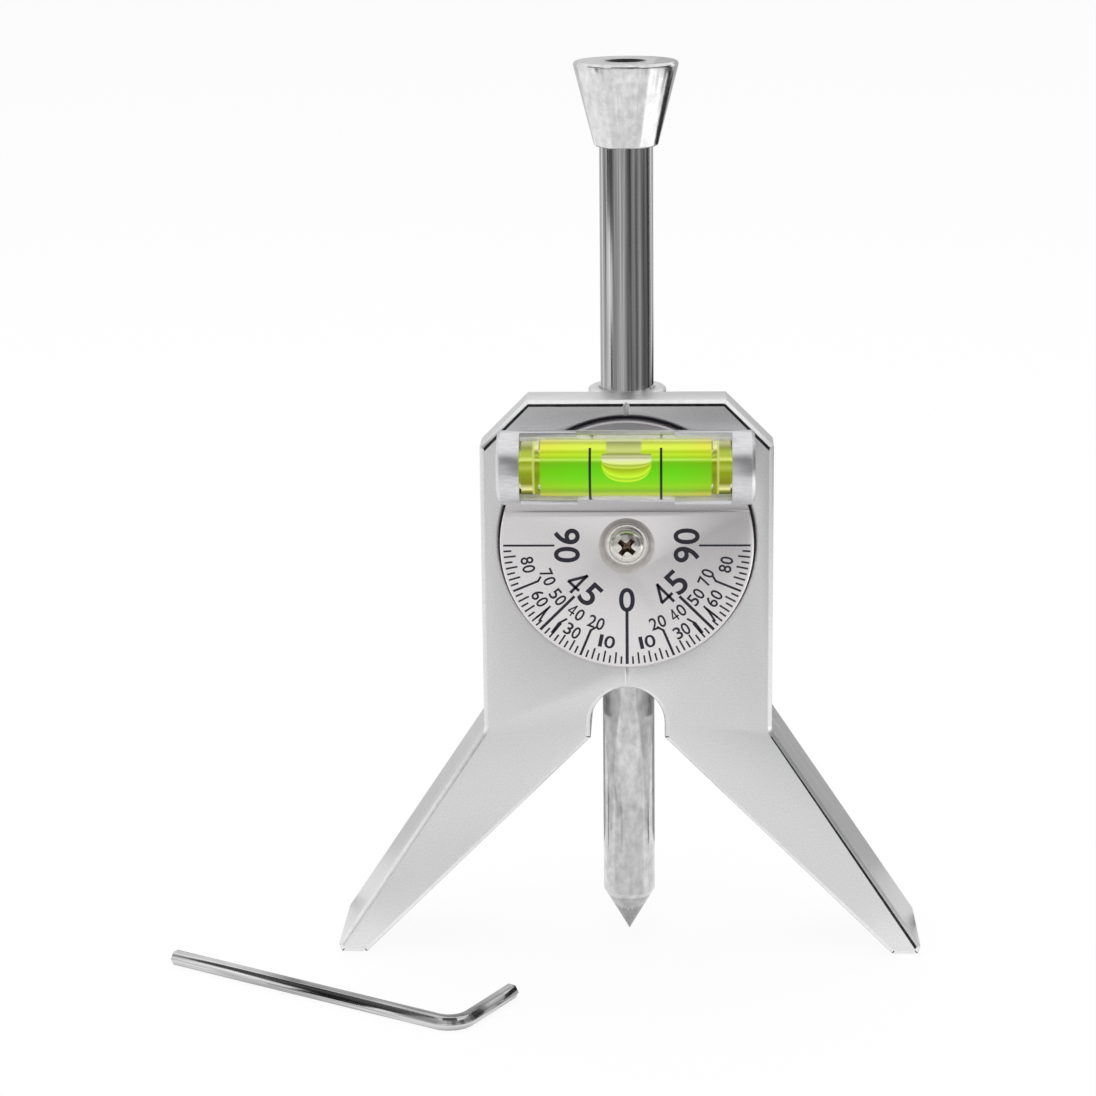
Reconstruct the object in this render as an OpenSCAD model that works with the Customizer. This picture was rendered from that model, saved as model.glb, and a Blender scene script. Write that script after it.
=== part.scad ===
// Pipe centre finder: a Y-shaped head that straddles a pipe, a sliding centre punch
// behind it, and a graduated dial on its face that carries a level vial.
// The head stands on its two feet. X runs to the right, Y to the back and Z up.
// The origin is on the punch's axis, in the plane of the feet.

/* [Head] */
// Width of the upright plate
head_width = 52; // [48:1:60]
// Height of the head, feet to top
head_height = 104; // [100:1:120]
// Thickness of the upright plate
plate_depth = 8; // [7.5:0.5:9]
// Thickness of the legs, front to back
leg_depth = 20.5; // [17:0.5:24]
// Length cut off each upper corner, along either edge
corner_cut = 8.4; // [2:0.2:10]
// Bevel round the front and back edges
edge_bevel = 0.8; // [0.2:0.1:1]
// Height at which the legs' outer edges leave the plate's sides
leg_root_height = 43.1; // [38:0.5:48]
// Rounding in the corner between plate and leg
leg_root_round = 2.5; // [1:0.5:6]
// Index line width on the face of the head
index_width = 1; // [0.4:0.1:1.4]

/* [Feet and vee] */
// Distance from the middle to a foot's outer edge
foot_reach = 53.6; // [50:0.2:60]
// Width of the flat that a foot stands on
foot_flat = 4.7; // [3:0.1:6]
// Height of the bevel on a foot's outer edge
toe_rise = 1.5; // [0.5:0.1:3]
// Set-back of that bevel
toe_set = 0.5; // [0.2:0.1:1]
// Angle between the two faces that rest on the pipe
vee_angle = 90; // [86:1:94]
// Radius of the arch at the top of the vee
arch_radius = 6.7; // [6:0.1:7.5]
// Upright sides of the arch, below its curve
arch_side = 2.7; // [1:0.1:4]

/* [Punch] */
// Diameter of the punch rod
punch_d = 9.525; // [8:0.005:10]
// Distance from the head's face back to the punch's axis
punch_setback = 13; // [12.5:0.1:14]
// Diameter of the boss that guides the punch
boss_d = 14; // [13:0.5:16]
// Included angle of the hardened point
point_angle = 60; // [50:5:90]
// Length of rod between the head's top and the striker cap
punch_stick_out = 43.1; // [20:0.1:60]
// Play between punch and bore, all round
punch_play = 0.035; // [0.02:0.005:0.08]

/* [Striker cap] */
// Height of the cap
cap_height = 14.9; // [10:0.1:20]
// Diameter of the cap at its foot
cap_low_d = 11.5; // [10.5:0.1:14]
// Diameter of the struck face
cap_top_d = 18.5; // [15:0.1:24]
// Rounding of the cap's edges
cap_edge = 0.6; // [0.2:0.1:1]
// Diameter of the rod's spigot in the cap
spigot_d = 6; // [4:0.5:7]
// Depth of the spigot's end below the struck face
spigot_inset = 1.2; // [0.5:0.1:3]

/* [Dial] */
// Diameter of the graduated dial
dial_d = 45; // [42:0.5:47]
// Distance from the head's top down to the dial's centre
dial_drop = 25.75; // [25:0.25:28]
// Thickness of the dial
dial_depth = 2.9; // [2.6:0.1:3.4]
// Depth of the round seat that the dial turns in
seat_depth = 1; // [0.6:0.1:1.4]
// Open ring between the dial and the wall of its seat
seat_gap = 0.4; // [0.3:0.1:0.8]
// Bevel at the mouth of the seat
seat_bevel = 0.4; // [0.1:0.1:0.5]
// Bevel round the dial's face
dial_bevel = 0.3; // [0.1:0.1:0.5]
// Play behind the dial
dial_play = 0.1; // [0.05:0.01:0.15]

/* [Dial pivot] */
// Diameter of the hub behind the dial
hub_d = 12; // [11:0.5:14]
// Length of the hub behind the dial
hub_length = 1.4; // [1:0.1:1.6]
// Play round the hub
hub_play = 0.15; // [0.05:0.01:0.3]
// Outer diameter of the sleeve that the dial turns on
bush_d = 5; // [4.6:0.1:5.6]
// Play between sleeve and dial
bush_play = 0.05; // [0.02:0.01:0.1]
// Thread diameter of the pivot screw
pivot_thread_d = 3; // [2.5:0.5:3.5]
// Depth of the pivot screw's thread in the head
pivot_grip = 3.6; // [3:0.1:3.8]
// Head diameter of the pivot screw
pivot_head_d = 6.2; // [5.6:0.1:6.6]
// Head height of the pivot screw
pivot_head_height = 2; // [1.5:0.1:2.4]
// Outer diameter of the pivot washer
pivot_washer_d = 7.2; // [6.8:0.1:7.4]
// Thickness of the pivot washer
pivot_washer_t = 0.4; // [0.3:0.1:0.5]
// Thickness of the cupped spring washer's sheet
spring_sheet = 0.3; // [0.2:0.05:0.4]
// Cup of the spring washer
spring_cup = 0.25; // [0.1:0.05:0.35]

/* [Screw recess in the dial] */
// Mouth of the dished recess round the screw
dish_d = 10; // [9:0.1:11]
// Floor of the dished recess
dish_floor_d = 7.8; // [7.6:0.1:8]
// Depth of the dished recess
dish_depth = 1.1; // [0.8:0.1:1.3]

/* [Vial tube] */
// Height of the tube's axis above the dial's centre
tube_rise = 15.35; // [14.5:0.05:16]
// Outer diameter of the tube
tube_d = 13; // [12.5:0.1:13.5]
// Distance of the tube's ends inside the dial's rim
tube_inset = 0.1; // [0:0.1:2]
// Bore of the tube
tube_bore = 11.4; // [11.1:0.1:11.6]
// Depth of the flat along the tube's back
tube_flat = 0.5; // [0.3:0.1:0.6]
// Bevel round the tube's ends
tube_edge = 0.6; // [0.2:0.1:0.8]
// Width of the uncut ring at either end of the tube
ring_width = 4; // [3:0.1:5]
// Length of the middle stretch, where the window is deeper
notch_length = 17; // [12:0.5:20]
// Height of the long window's edges in front of the tube's axis
window_level = 0.9; // [0.8:0.1:1.4]
// Depth of the middle window's edges behind the tube's axis
notch_level = 0.8; // [0:0.1:1.5]
// Lower edge of the slot that holds the tube, above the dial's centre
slot_low = 6.1; // [5.6:0.1:7]
// Upper edge of that slot, above the dial's centre
slot_high = 19.6; // [19.2:0.1:20.4]
// Depth of that slot
slot_depth = 1; // [0.7:0.1:1.2]

/* [Vial] */
// Diameter of the clear barrel
vial_d = 11.3; // [10.9:0.05:11.3]
// Diameter of the hollow that holds the fluid
fluid_d = 6.6; // [5:0.1:8]
// Length of a stopper
stopper_length = 3.5; // [2:0.1:5]
// Diameter of a stopper
stopper_d = 6.2; // [4:0.1:6.4]
// Distance between the two index rings
ring_spacing = 12.3; // [10:0.1:14]
// Width of an index ring
ring_line = 0.45; // [0.3:0.05:0.8]
// Thickness of an index ring
ring_sheet = 0.15; // [0.1:0.05:0.3]
// Length of the bubble
bubble_length = 8.5; // [6:0.5:10]
// Depth of the bubble below the top of the hollow
bubble_depth = 4.2; // [3:0.1:5]

/* [Dial lock] */
// Thread diameter of the lock screw
lock_d = 5; // [4:0.5:6]
// Length of the lock screw
lock_length = 5; // [4:0.1:5.2]
// Distance of the lock screw from the dial's centre
lock_offset = 15; // [13:0.5:17]
// Thickness of the soft pad in front of the lock screw
pad_length = 1.5; // [1:0.1:1.7]
// Depth of the hexagon socket
socket_depth = 2.5; // [1.5:0.1:3]

/* [Hex key] */
// Size of the hex key, across its flats
key_flats = 2.5; // [2:0.5:2.5]
// Long arm of the key
key_long = 63; // [50:1:80]
// Short arm of the key
key_short = 19.2; // [15:0.1:25]
// Bend radius at the middle of the bar
key_bend = 4; // [2.5:0.5:6]

/* [Hidden] */
$fn = 96;

// How far a cut runs past the face it opens
overrun = 1;
// Clearance between fixed pieces that fit into each other
fit = 0.02;
// Clearance of a screw in its threaded hole, threads left out
thread_play = 0.04;
// Largest angle that one side of an arc in an outline turns through
arc_step = 7.5;

// Head: planes from front to back
face_y = -punch_setback;
plate_back_y = face_y + plate_depth;
legs_back_y = face_y + leg_depth;
half_width = head_width / 2;
bore_d = punch_d + 2 * punch_play;

// Vee, arch and legs
foot_inner = foot_reach - toe_set - foot_flat;
vee_top = (foot_inner - arch_radius) / tan(vee_angle / 2);
arch_centre = vee_top + arch_side;
arch_top = arch_centre + arch_radius;
leg_slope = (leg_root_height - toe_rise) / (foot_reach - half_width);

// Dial and its pivot
dial_z = head_height - dial_drop;
seat_floor_y = face_y + seat_depth;
dial_back_y = seat_floor_y - dial_play;
dial_face_y = dial_back_y - dial_depth;
spring_height = spring_sheet + spring_cup;
hub_back_y = dial_back_y + hub_length;
hub_seat_y = hub_back_y + spring_height + fit;
dish_floor_y = dial_face_y + dish_depth;
bush_front_y = dish_floor_y - dial_play;
screw_seat_y = bush_front_y - pivot_washer_t;
sleeve_bore = pivot_thread_d + 2 * dial_play;

// Vial tube
tube_z = dial_z + tube_rise;
slot_floor_y = dial_face_y + slot_depth;
tube_y = slot_floor_y - (tube_d / 2 - tube_flat);
tube_length = dial_d - 2 * tube_inset;
window_half = tube_length / 2 - ring_width;
barrel_half = window_half - fit;
cavity_half = barrel_half - stopper_length;

// Pivot screw: width and half length of its cross, as shares of the head's diameter,
// and the angles of the dome's rings
screw_slot_share = 0.17;
screw_reach_share = 0.3;
screw_dome_angles = [0, 20, 45, 65];

// Lock screw and its pad
pad_front_y = dial_back_y + fit;
lock_front_y = pad_front_y + pad_length;
lock_back_y = lock_front_y + lock_length;

// Where the hex key lies: place of its outer corner as shares of the feet's reach,
// and the direction of its long arm
key_place_shares = [-0.538, -0.946];
key_turn = 150.5;

// Unit vector
function unit(v) = v / norm(v);

// Arc round a centre, from angle a0 through the given sweep
function arc(centre, r, a0, sweep) =
    let (n = ceil(abs(sweep) / arc_step))
    [for (i = [0 : n]) centre + r * [cos(a0 + sweep * i / n), sin(a0 + sweep * i / n)]];

// Start, end and centre of the arc that rounds corner p between its neighbours a and b
function rounding(a, p, b, r) =
    let (u = unit(a - p), v = unit(b - p), half = acos(u * v) / 2)
    [p + u * r / tan(half), p + v * r / tan(half), p + unit(u + v) * r / sin(half)];

// The right half of an outline and, in reverse order, its points mirrored to the left
function both_halves(points) =
    concat(points, [for (i = [len(points) - 1 : -1 : 0])
                        if (points[i][0] > 0) [-points[i][0], points[i][1]]]);

// Right foot, from the top of the vee to the bevelled toe
foot_points = [[0, foot_inner / tan(vee_angle / 2)],
               [foot_inner, 0],
               [foot_reach - toe_set, 0],
               [foot_reach, toe_rise]];
plate_corner = [half_width, head_height - corner_cut];
top_corner = [half_width - corner_cut, head_height];
ridge = [0, leg_root_height + half_width * leg_slope];
root = rounding(foot_points[3], [half_width, leg_root_height], plate_corner, leg_root_round);

// Outline of the front plate with its legs, anticlockwise, and of the thick legs alone,
// whose outer faces run up behind the plate and meet in a ridge
front_outline = both_halves(concat(foot_points, [root[0], root[1], plate_corner, top_corner]));
back_outline = both_halves(concat(foot_points, [ridge]));

// Straight edges that are bevelled, each with how far its cut runs past either end
foot_edges = [[foot_points[0], foot_points[1], 0, overrun],
              [foot_points[1], foot_points[2], overrun, overrun],
              [foot_points[2], foot_points[3], overrun, overrun],
              [[arch_radius, arch_centre], [arch_radius, vee_top], 0, overrun]];
front_edges = concat(foot_edges,
                     [[foot_points[3], root[0], overrun, 0],
                      [root[1], plate_corner, 0, overrun],
                      [plate_corner, top_corner, overrun, overrun],
                      [top_corner, [0, head_height], overrun, overrun]]);
back_edges = concat(foot_edges, [[foot_points[3], ridge, overrun, overrun]]);

// Children stood upright, with their z axis towards the front or, mirrored, the back
module facing(front) {
    mirror([0, front ? 0 : 1, 0])
        rotate([90, 0, 0])
            children();
}

// Cut that bevels the edge from a to b of an anticlockwise outline, under the plane z = level
module bevel_cut(a, b, run_a, run_b, level) {
    translate([a[0], a[1], level - edge_bevel])
        rotate([45, 0, atan2(b[1] - a[1], b[0] - a[0])])
            translate([-run_a, -overrun, 0])
                cube([norm(b - a) + run_a + run_b, 2 * (overrun + edge_bevel), overrun + edge_bevel]);
}

// Bevels of both halves of an outline, and of its arch
module bevels(edges, level) {
    for (side = [0, 1], e = edges)
        mirror([side, 0, 0])
            bevel_cut(e[0], e[1], e[2], e[3], level);
    translate([0, arch_centre, level - edge_bevel])
        cylinder(h = edge_bevel, r1 = arch_radius, r2 = arch_radius + edge_bevel);
}

// Rounding in the corner where each leg leaves the plate, bevelled at the face
module leg_root_cuts() {
    for (side = [0, 1])
        mirror([side, 0, 0])
            translate([root[2][0], root[2][1], 0]) {
                translate([0, 0, -plate_back_y - overrun])
                    cylinder(h = plate_depth + 2 * overrun, r = leg_root_round);
                translate([0, 0, -face_y - edge_bevel])
                    cylinder(h = edge_bevel, r1 = leg_root_round, r2 = leg_root_round + edge_bevel);
            }
}

// Arch between the legs
module arch_cut() {
    translate([0, 0, -legs_back_y - overrun]) {
        translate([0, arch_centre, 0])
            cylinder(h = leg_depth + 2 * overrun, r = arch_radius);
        translate([-arch_radius, vee_top, 0])
            cube([2 * arch_radius, arch_side, leg_depth + 2 * overrun]);
    }
}

// Cylinder whose axis runs along +Y from the plane y0 to the plane y1
module along_y(y0, y1, d, d_end = undef) {
    translate([0, y0, 0])
        rotate([-90, 0, 0])
            cylinder(h = y1 - y0, d1 = d, d2 = is_undef(d_end) ? d : d_end);
}

// Cylinder whose axis runs along +X from x0 to x1
module along_x(x0, x1, d) {
    translate([x0, 0, 0])
        rotate([0, 90, 0])
            cylinder(h = x1 - x0, d = d);
}

// V-shaped index line on the head's face, from height z0 to height z1
module index_cut(z0, z1) {
    w = index_width / 2;
    translate([0, face_y, z0])
        linear_extrude(z1 - z0)
            polygon([[-w, -overrun], [w, -overrun], [w, 0], [0, w], [-w, 0]]);
}

// Round boss up the back of the head, from the arch to the top
module boss() {
    translate([0, 0, arch_top])
        cylinder(h = head_height - edge_bevel / 2 - arch_top, d = boss_d);
    translate([0, 0, head_height - edge_bevel / 2])
        cylinder(h = edge_bevel / 2, d1 = boss_d, d2 = boss_d - edge_bevel);
}

// Bore for the punch, with a light countersink at its mouth
module punch_bore() {
    translate([0, 0, arch_centre - overrun])
        cylinder(h = head_height - arch_centre + 2 * overrun, d = bore_d);
    translate([0, 0, head_height - edge_bevel / 2])
        cylinder(h = edge_bevel / 2, d1 = bore_d, d2 = bore_d + edge_bevel);
}

// Everything that the dial and its pivot need cut into the face
module dial_seat() {
    translate([0, 0, dial_z]) {
        along_y(face_y - overrun, seat_floor_y, dial_d + 2 * seat_gap);
        along_y(face_y, face_y + seat_bevel,
                dial_d + 2 * (seat_gap + seat_bevel), dial_d + 2 * seat_gap);
        along_y(seat_floor_y - fit, hub_seat_y, hub_d + 2 * hub_play);
        along_y(hub_seat_y - fit, hub_seat_y + pivot_grip + thread_play, pivot_thread_d + 2 * thread_play);
        translate([lock_offset, 0, 0])
            along_y(seat_floor_y - overrun, plate_back_y + overrun, lock_d + 2 * thread_play);
    }
}

module head_body() {
    color("gainsboro")
        difference() {
            union() {
                facing(true)
                    translate([0, 0, -plate_back_y])
                        linear_extrude(plate_depth)
                            polygon(front_outline);
                facing(true)
                    translate([0, 0, -legs_back_y])
                        linear_extrude(leg_depth - edge_bevel - overrun)
                            polygon(back_outline);
                boss();
            }
            facing(true) {
                bevels(front_edges, -face_y);
                leg_root_cuts();
                arch_cut();
            }
            facing(false)
                bevels(back_edges, legs_back_y);
            punch_bore();
            dial_seat();
            index_cut(dial_z + dial_d / 2, head_height + overrun);
            index_cut(arch_centre, dial_z - dial_d / 2);
        }
}

// Punch: rod, ground point below and spigot above
module punch_rod() {
    r = punch_d / 2;
    shoulder = head_height + punch_stick_out;
    color("silver")
        rotate_extrude()
            polygon([[0, 0],
                     [r, r / tan(point_angle / 2)],
                     [r, shoulder],
                     [spigot_d / 2 - fit, shoulder],
                     [spigot_d / 2 - fit, shoulder + cap_height - spigot_inset],
                     [0, shoulder + cap_height - spigot_inset]]);
}

// Flared cap that the hammer strikes, pressed on the rod's spigot
module striker_cap() {
    foot = cap_low_d / 2;
    top = cap_top_d / 2;
    color("lightgray")
        translate([0, 0, head_height + punch_stick_out + fit])
            rotate_extrude()
                polygon(concat(
                    [[spigot_d / 2, 0], [foot - cap_edge, 0]],
                    arc([foot - cap_edge, cap_edge], cap_edge, -90, 80),
                    arc([top - cap_edge, cap_height - cap_edge], cap_edge, -10, 100),
                    [[spigot_d / 2 + cap_edge, cap_height], [spigot_d / 2, cap_height - cap_edge]]));
}

// Graduated dial with its hub, its tube slot and the dish round its screw
module dial_disc() {
    color("whitesmoke")
        translate([0, 0, dial_z])
            difference() {
                union() {
                    along_y(dial_face_y + dial_bevel, dial_back_y, dial_d);
                    along_y(dial_face_y, dial_face_y + dial_bevel, dial_d - 2 * dial_bevel, dial_d);
                    along_y(dial_back_y - fit, hub_back_y, hub_d);
                }
                translate([-dial_d / 2 - overrun, dial_face_y - overrun, slot_low])
                    cube([dial_d + 2 * overrun, slot_depth + overrun, slot_high - slot_low]);
                along_y(dial_face_y, dish_floor_y, dish_d, dish_floor_d);
                along_y(dish_floor_y - fit, hub_back_y + overrun, bush_d + 2 * bush_play);
            }
}

// Cross-head screw that holds the dial, with a domed head
module pivot_screw() {
    r = pivot_head_d / 2;
    crown = pivot_head_height / 2;
    slot = screw_slot_share * pivot_head_d;
    reach = screw_reach_share * pivot_head_d;
    tip = screw_seat_y - hub_seat_y - pivot_grip;
    color("silver")
        translate([0, screw_seat_y, dial_z])
            rotate([90, 0, 0])
                difference() {
                    rotate_extrude()
                        polygon(concat(
                            [[0, tip], [pivot_thread_d / 2, tip], [pivot_thread_d / 2, 0], [r, 0]],
                            [for (a = screw_dome_angles) [r * cos(a), crown + crown * sin(a)]],
                            [[0, pivot_head_height]]));
                    for (a = [0, 90])
                        rotate([0, 0, a])
                            translate([-reach, -slot / 2, crown])
                                cube([2 * reach, slot, pivot_head_height]);
                }
}

// Flat washer under the screw's head
module pivot_washer() {
    color("silver")
        translate([0, 0, dial_z])
            difference() {
                along_y(screw_seat_y, bush_front_y, pivot_washer_d);
                along_y(screw_seat_y - overrun, bush_front_y + overrun, sleeve_bore);
            }
}

// Sleeve that the dial turns on, clamped by the pivot screw
module pivot_bush() {
    color("goldenrod")
        translate([0, 0, dial_z])
            difference() {
                along_y(bush_front_y, hub_seat_y, bush_d);
                along_y(bush_front_y - overrun, hub_seat_y + overrun, sleeve_bore);
            }
}

// Cupped washer that presses the dial forward and gives it its drag
module spring_washer() {
    outer = hub_d / 2 - fit;
    inner = bush_d / 2 + bush_play;
    color("slategray")
        translate([0, hub_seat_y - fit, dial_z])
            rotate([90, 0, 0])
                rotate_extrude()
                    polygon([[inner, spring_cup], [outer, 0],
                             [outer, spring_sheet], [inner, spring_height - fit]]);
}

// Tube that holds the vial, cut open at the front
module vial_tube() {
    half = tube_length / 2;
    color("gainsboro")
        translate([0, tube_y, tube_z])
            difference() {
                rotate([0, 90, 0])
                    rotate_extrude()
                        polygon([[tube_bore / 2, -half],
                                 [tube_d / 2 - tube_edge, -half],
                                 [tube_d / 2, tube_edge - half],
                                 [tube_d / 2, half - tube_edge],
                                 [tube_d / 2 - tube_edge, half],
                                 [tube_bore / 2, half]]);
                window_cut(-window_half, -notch_length / 2, window_level);
                window_cut(-notch_length / 2 - fit, notch_length / 2 + fit, -notch_level);
                window_cut(notch_length / 2, window_half, window_level);
                translate([-half - overrun, tube_d / 2 - tube_flat, -tube_d / 2])
                    cube([tube_length + 2 * overrun, tube_flat + overrun, tube_d]);
            }
}

// Stretch of the tube's window, open in front of the given level
module window_cut(x0, x1, level) {
    translate([x0, -tube_d, -tube_d])
        cube([x1 - x0, tube_d - level, 2 * tube_d]);
}

// Plug that closes one end of the tube
module tube_plug(side) {
    color("gainsboro")
        translate([0, tube_y, tube_z])
            scale_side(side)
                along_x(window_half, tube_length / 2 - tube_edge / 2, tube_bore - 2 * fit);
}

// Children as modelled for the right, or mirrored to the left
module scale_side(side) {
    mirror([side < 0 ? 1 : 0, 0, 0])
        children();
}

module left_tube_plug() {
    tube_plug(-1);
}

module right_tube_plug() {
    tube_plug(1);
}

// Clear barrel with its hollow, its stopper bores and the grooves of its index rings
module vial_barrel() {
    color("palegreen", 0.5)
        translate([0, tube_y, tube_z])
            difference() {
                along_x(-barrel_half, barrel_half, vial_d);
                along_x(-cavity_half, cavity_half, fluid_d);
                along_x(-barrel_half - overrun, barrel_half + overrun, stopper_d);
                for (side = [-1, 1])
                    translate([side * ring_spacing / 2, 0, 0])
                        ring_shape(ring_line + 2 * fit, vial_d + overrun, vial_d - 2 * (ring_sheet + fit));
            }
}

// Ring round the vial's axis
module ring_shape(width, outer_d, inner_d) {
    difference() {
        along_x(-width / 2, width / 2, outer_d);
        along_x(-width / 2 - overrun, width / 2 + overrun, inner_d);
    }
}

// Coloured fluid, hollow where the bubble floats under the top of the barrel
module vial_fluid() {
    bubble_r = bubble_depth / 2;
    ceiling = fluid_d / 2 - 2 * fit;
    color("greenyellow")
        translate([0, tube_y, tube_z])
            difference() {
                along_x(fit - cavity_half, cavity_half - fit, fluid_d - 2 * fit);
                intersection() {
                    along_x(-bubble_length / 2, bubble_length / 2, 2 * ceiling - 2 * fit);
                    translate([0, 0, ceiling - bubble_r])
                        rotate([0, 90, 0])
                            bubble_shape(bubble_r);
                }
            }
}

// Spindle with round ends
module bubble_shape(r) {
    half = bubble_length / 2;
    rotate_extrude()
        polygon(concat([[0, -half]],
                       arc([0, r - half], r, -60, 60),
                       arc([0, half - r], r, 0, 60),
                       [[0, half]]));
}

// Stopper that closes one end of the barrel
module stopper(side) {
    color("yellowgreen")
        translate([0, tube_y, tube_z])
            scale_side(side)
                along_x(cavity_half, barrel_half, stopper_d - 2 * fit);
}

module left_stopper() {
    stopper(-1);
}

module right_stopper() {
    stopper(1);
}

// Black ring that the bubble is read against
module index_ring(side) {
    color("black")
        translate([side * ring_spacing / 2, tube_y, tube_z])
            ring_shape(ring_line, vial_d - 2 * fit, vial_d - 2 * ring_sheet);
}

module left_index_ring() {
    index_ring(-1);
}

module right_index_ring() {
    index_ring(1);
}

// Regular hexagon, flats left and right, with the given width across its flats
module hexagon(flats) {
    polygon([for (i = [0 : 5]) flats / sqrt(3) * [cos(60 * i + 30), sin(60 * i + 30)]]);
}

// Grub screw that presses the pad on the back of the dial
module lock_screw() {
    color("dimgray")
        translate([lock_offset, 0, dial_z])
            difference() {
                union() {
                    along_y(lock_front_y, lock_back_y - edge_bevel / 2, lock_d);
                    along_y(lock_back_y - edge_bevel / 2, lock_back_y, lock_d, lock_d - edge_bevel);
                }
                translate([0, lock_back_y - socket_depth, 0])
                    rotate([-90, 0, 0])
                        linear_extrude(socket_depth + overrun)
                            hexagon(key_flats + 2 * fit);
            }
}

// Soft pad between the lock screw and the dial
module lock_pad() {
    color("white")
        translate([lock_offset, 0, dial_z])
            along_y(pad_front_y, lock_front_y - fit, lock_d - 4 * fit);
}

// Hex key that fits the lock screw, as it lies on the ground in front of the left foot
module hex_key() {
    arm_long = key_long - key_bend - key_flats / 2;
    arm_short = key_short - key_bend - key_flats / 2;
    color("silver")
        translate([key_place_shares[0] * foot_reach, key_place_shares[1] * foot_reach, key_flats / 2])
            rotate([0, 0, key_turn])
                translate([key_bend + key_flats / 2, -key_bend - key_flats / 2, 0]) {
                    translate([0, key_bend, 0])
                        rotate([0, 90, 0])
                            linear_extrude(arm_long)
                                hexagon(key_flats);
                    rotate([0, 0, 90])
                        rotate_extrude(angle = 90)
                            translate([key_bend, 0])
                                rotate([0, 0, 90])
                                    hexagon(key_flats);
                    translate([-key_bend, 0, 0])
                        rotate([90, 0, 0])
                            linear_extrude(arm_short)
                                rotate([0, 0, 90])
                                    hexagon(key_flats);
                }
}

head_body();
punch_rod();
striker_cap();
dial_disc();
pivot_screw();
pivot_washer();
pivot_bush();
spring_washer();
vial_tube();
left_tube_plug();
right_tube_plug();
vial_barrel();
vial_fluid();
left_stopper();
right_stopper();
left_index_ring();
right_index_ring();
lock_screw();
lock_pad();
hex_key();
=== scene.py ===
# %% [markdown]
# # A pipe center finder, from its CAD frame to the finished look
# A pipe center finder stands over a pipe on its two legs, and its punch marks
# the top of the pipe. This file builds the tool's look round a CAD model that
# already has the real shapes and joints. Before each step a few sentences say
# what the piece or the finish is on the real tool, how it could be made, and
# why this way was chosen.
#
# The first step loads the CAD model. It could be one mesh, but as separate pieces each can have its own
# finish and still move on its joint.

import math

import bmesh
import bpy
from mathutils import Matrix, Vector


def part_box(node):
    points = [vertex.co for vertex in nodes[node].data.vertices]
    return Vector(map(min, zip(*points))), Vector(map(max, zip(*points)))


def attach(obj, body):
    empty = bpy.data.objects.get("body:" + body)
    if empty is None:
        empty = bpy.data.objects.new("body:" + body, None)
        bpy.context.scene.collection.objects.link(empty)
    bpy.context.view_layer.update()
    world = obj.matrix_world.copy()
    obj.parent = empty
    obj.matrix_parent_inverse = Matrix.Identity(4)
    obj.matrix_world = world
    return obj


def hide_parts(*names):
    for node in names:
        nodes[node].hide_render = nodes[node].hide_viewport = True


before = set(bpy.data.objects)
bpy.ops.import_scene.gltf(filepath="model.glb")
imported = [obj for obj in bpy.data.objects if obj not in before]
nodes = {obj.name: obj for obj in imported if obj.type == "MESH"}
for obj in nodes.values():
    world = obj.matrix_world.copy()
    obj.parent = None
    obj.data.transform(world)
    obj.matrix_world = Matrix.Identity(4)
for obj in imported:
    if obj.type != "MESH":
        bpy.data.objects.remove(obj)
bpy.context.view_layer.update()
MM = 0.001
print("CAD nodes:", len(nodes))

# %% [markdown]
# ## The camera
# A photo of a tool is taken with a long lens from some way off, because a short
# lens close by would swell what is in front. This camera stands about half a
# metre away and nearly 15 degrees above the tool. It could be aimed with a
# constraint, but three plain angles are easier to match with a photo. It looks
# a little past the tool's left side, so the tool stands right of the middle.

# %% Camera
PLACE = Vector((0.0077, -0.5293, 0.2117))
TILT_DOWN = math.radians(14.58)
TURN_LEFT = math.radians(2.41)
ROLL = math.radians(-0.66)
SENSOR_WIDTH = 36
FOCAL_LENGTH = 98.54
lens_data = bpy.data.cameras.new("photo_camera")
lens_data.sensor_width = SENSOR_WIDTH
lens_data.lens = FOCAL_LENGTH
lens_data.clip_start = 0.05
camera = bpy.data.objects.new("photo_camera", lens_data)
bpy.context.scene.collection.objects.link(camera)
aim = Matrix.Rotation(TURN_LEFT, 4, "Z") @ Matrix.Rotation(math.pi / 2 - TILT_DOWN, 4, "X")
camera.matrix_world = Matrix.Translation(PLACE) @ aim @ Matrix.Rotation(ROLL, 4, "Z")
bpy.context.scene.camera = camera
bpy.context.scene.view_settings.view_transform = "Standard"
print("the camera stands at", [round(v, 4) for v in PLACE])

# %% [markdown]
# ## Plain finishes
# The barrel of the level is clear acrylic, the pad of the lock screw is nylon,
# and the dial's marks are dark ink. None of them has a grain that shows, so
# each is one Principled shader with plain numbers set straight on its sockets.
# The barrel could be a see-through sheet, but a solid that bends light as
# acrylic does makes the fluid behind it look as wide as it really looks. Its
# specular tint is low, so that its shine doesn't veil the colours behind it.

# %% Plain finishes
def new_material(name):
    material = bpy.data.materials.new(name)
    material.use_nodes = True
    tree = material.node_tree
    return material, tree, tree.nodes["Principled BSDF"]


def set_sockets(shader, settings):
    for socket, value in settings.items():
        shader.inputs[socket].default_value = value


def plain(name, colour, settings):
    material, _, shader = new_material(name)
    set_sockets(shader, {"Base Color": (*colour, 1), **settings})
    return material


ACRYLIC_IOR = 1.49
CLEAR = {
    "Roughness": 0.0, "IOR": ACRYLIC_IOR, "Transmission Weight": 1.0, "Specular Tint": (0.3, 0.3, 0.3, 1),
}
MATTE = {"Roughness": 0.5}
barrel_look = plain("clear acrylic", (1.0, 1.0, 0.93), CLEAR)
index_look = plain("black rings", (0.005, 0.012, 0.006), MATTE)
pad_look = plain("nylon pad", (0.80, 0.80, 0.74), MATTE)
# The dark ink also makes the ring of painted shadow in the dial's seat.
ink_and_shade_look = plain("dark ink", (0.008, 0.006, 0.022), MATTE)
print("plain finishes:", [look.name for look in (barrel_look, index_look, pad_look, ink_and_shade_look)])

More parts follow.
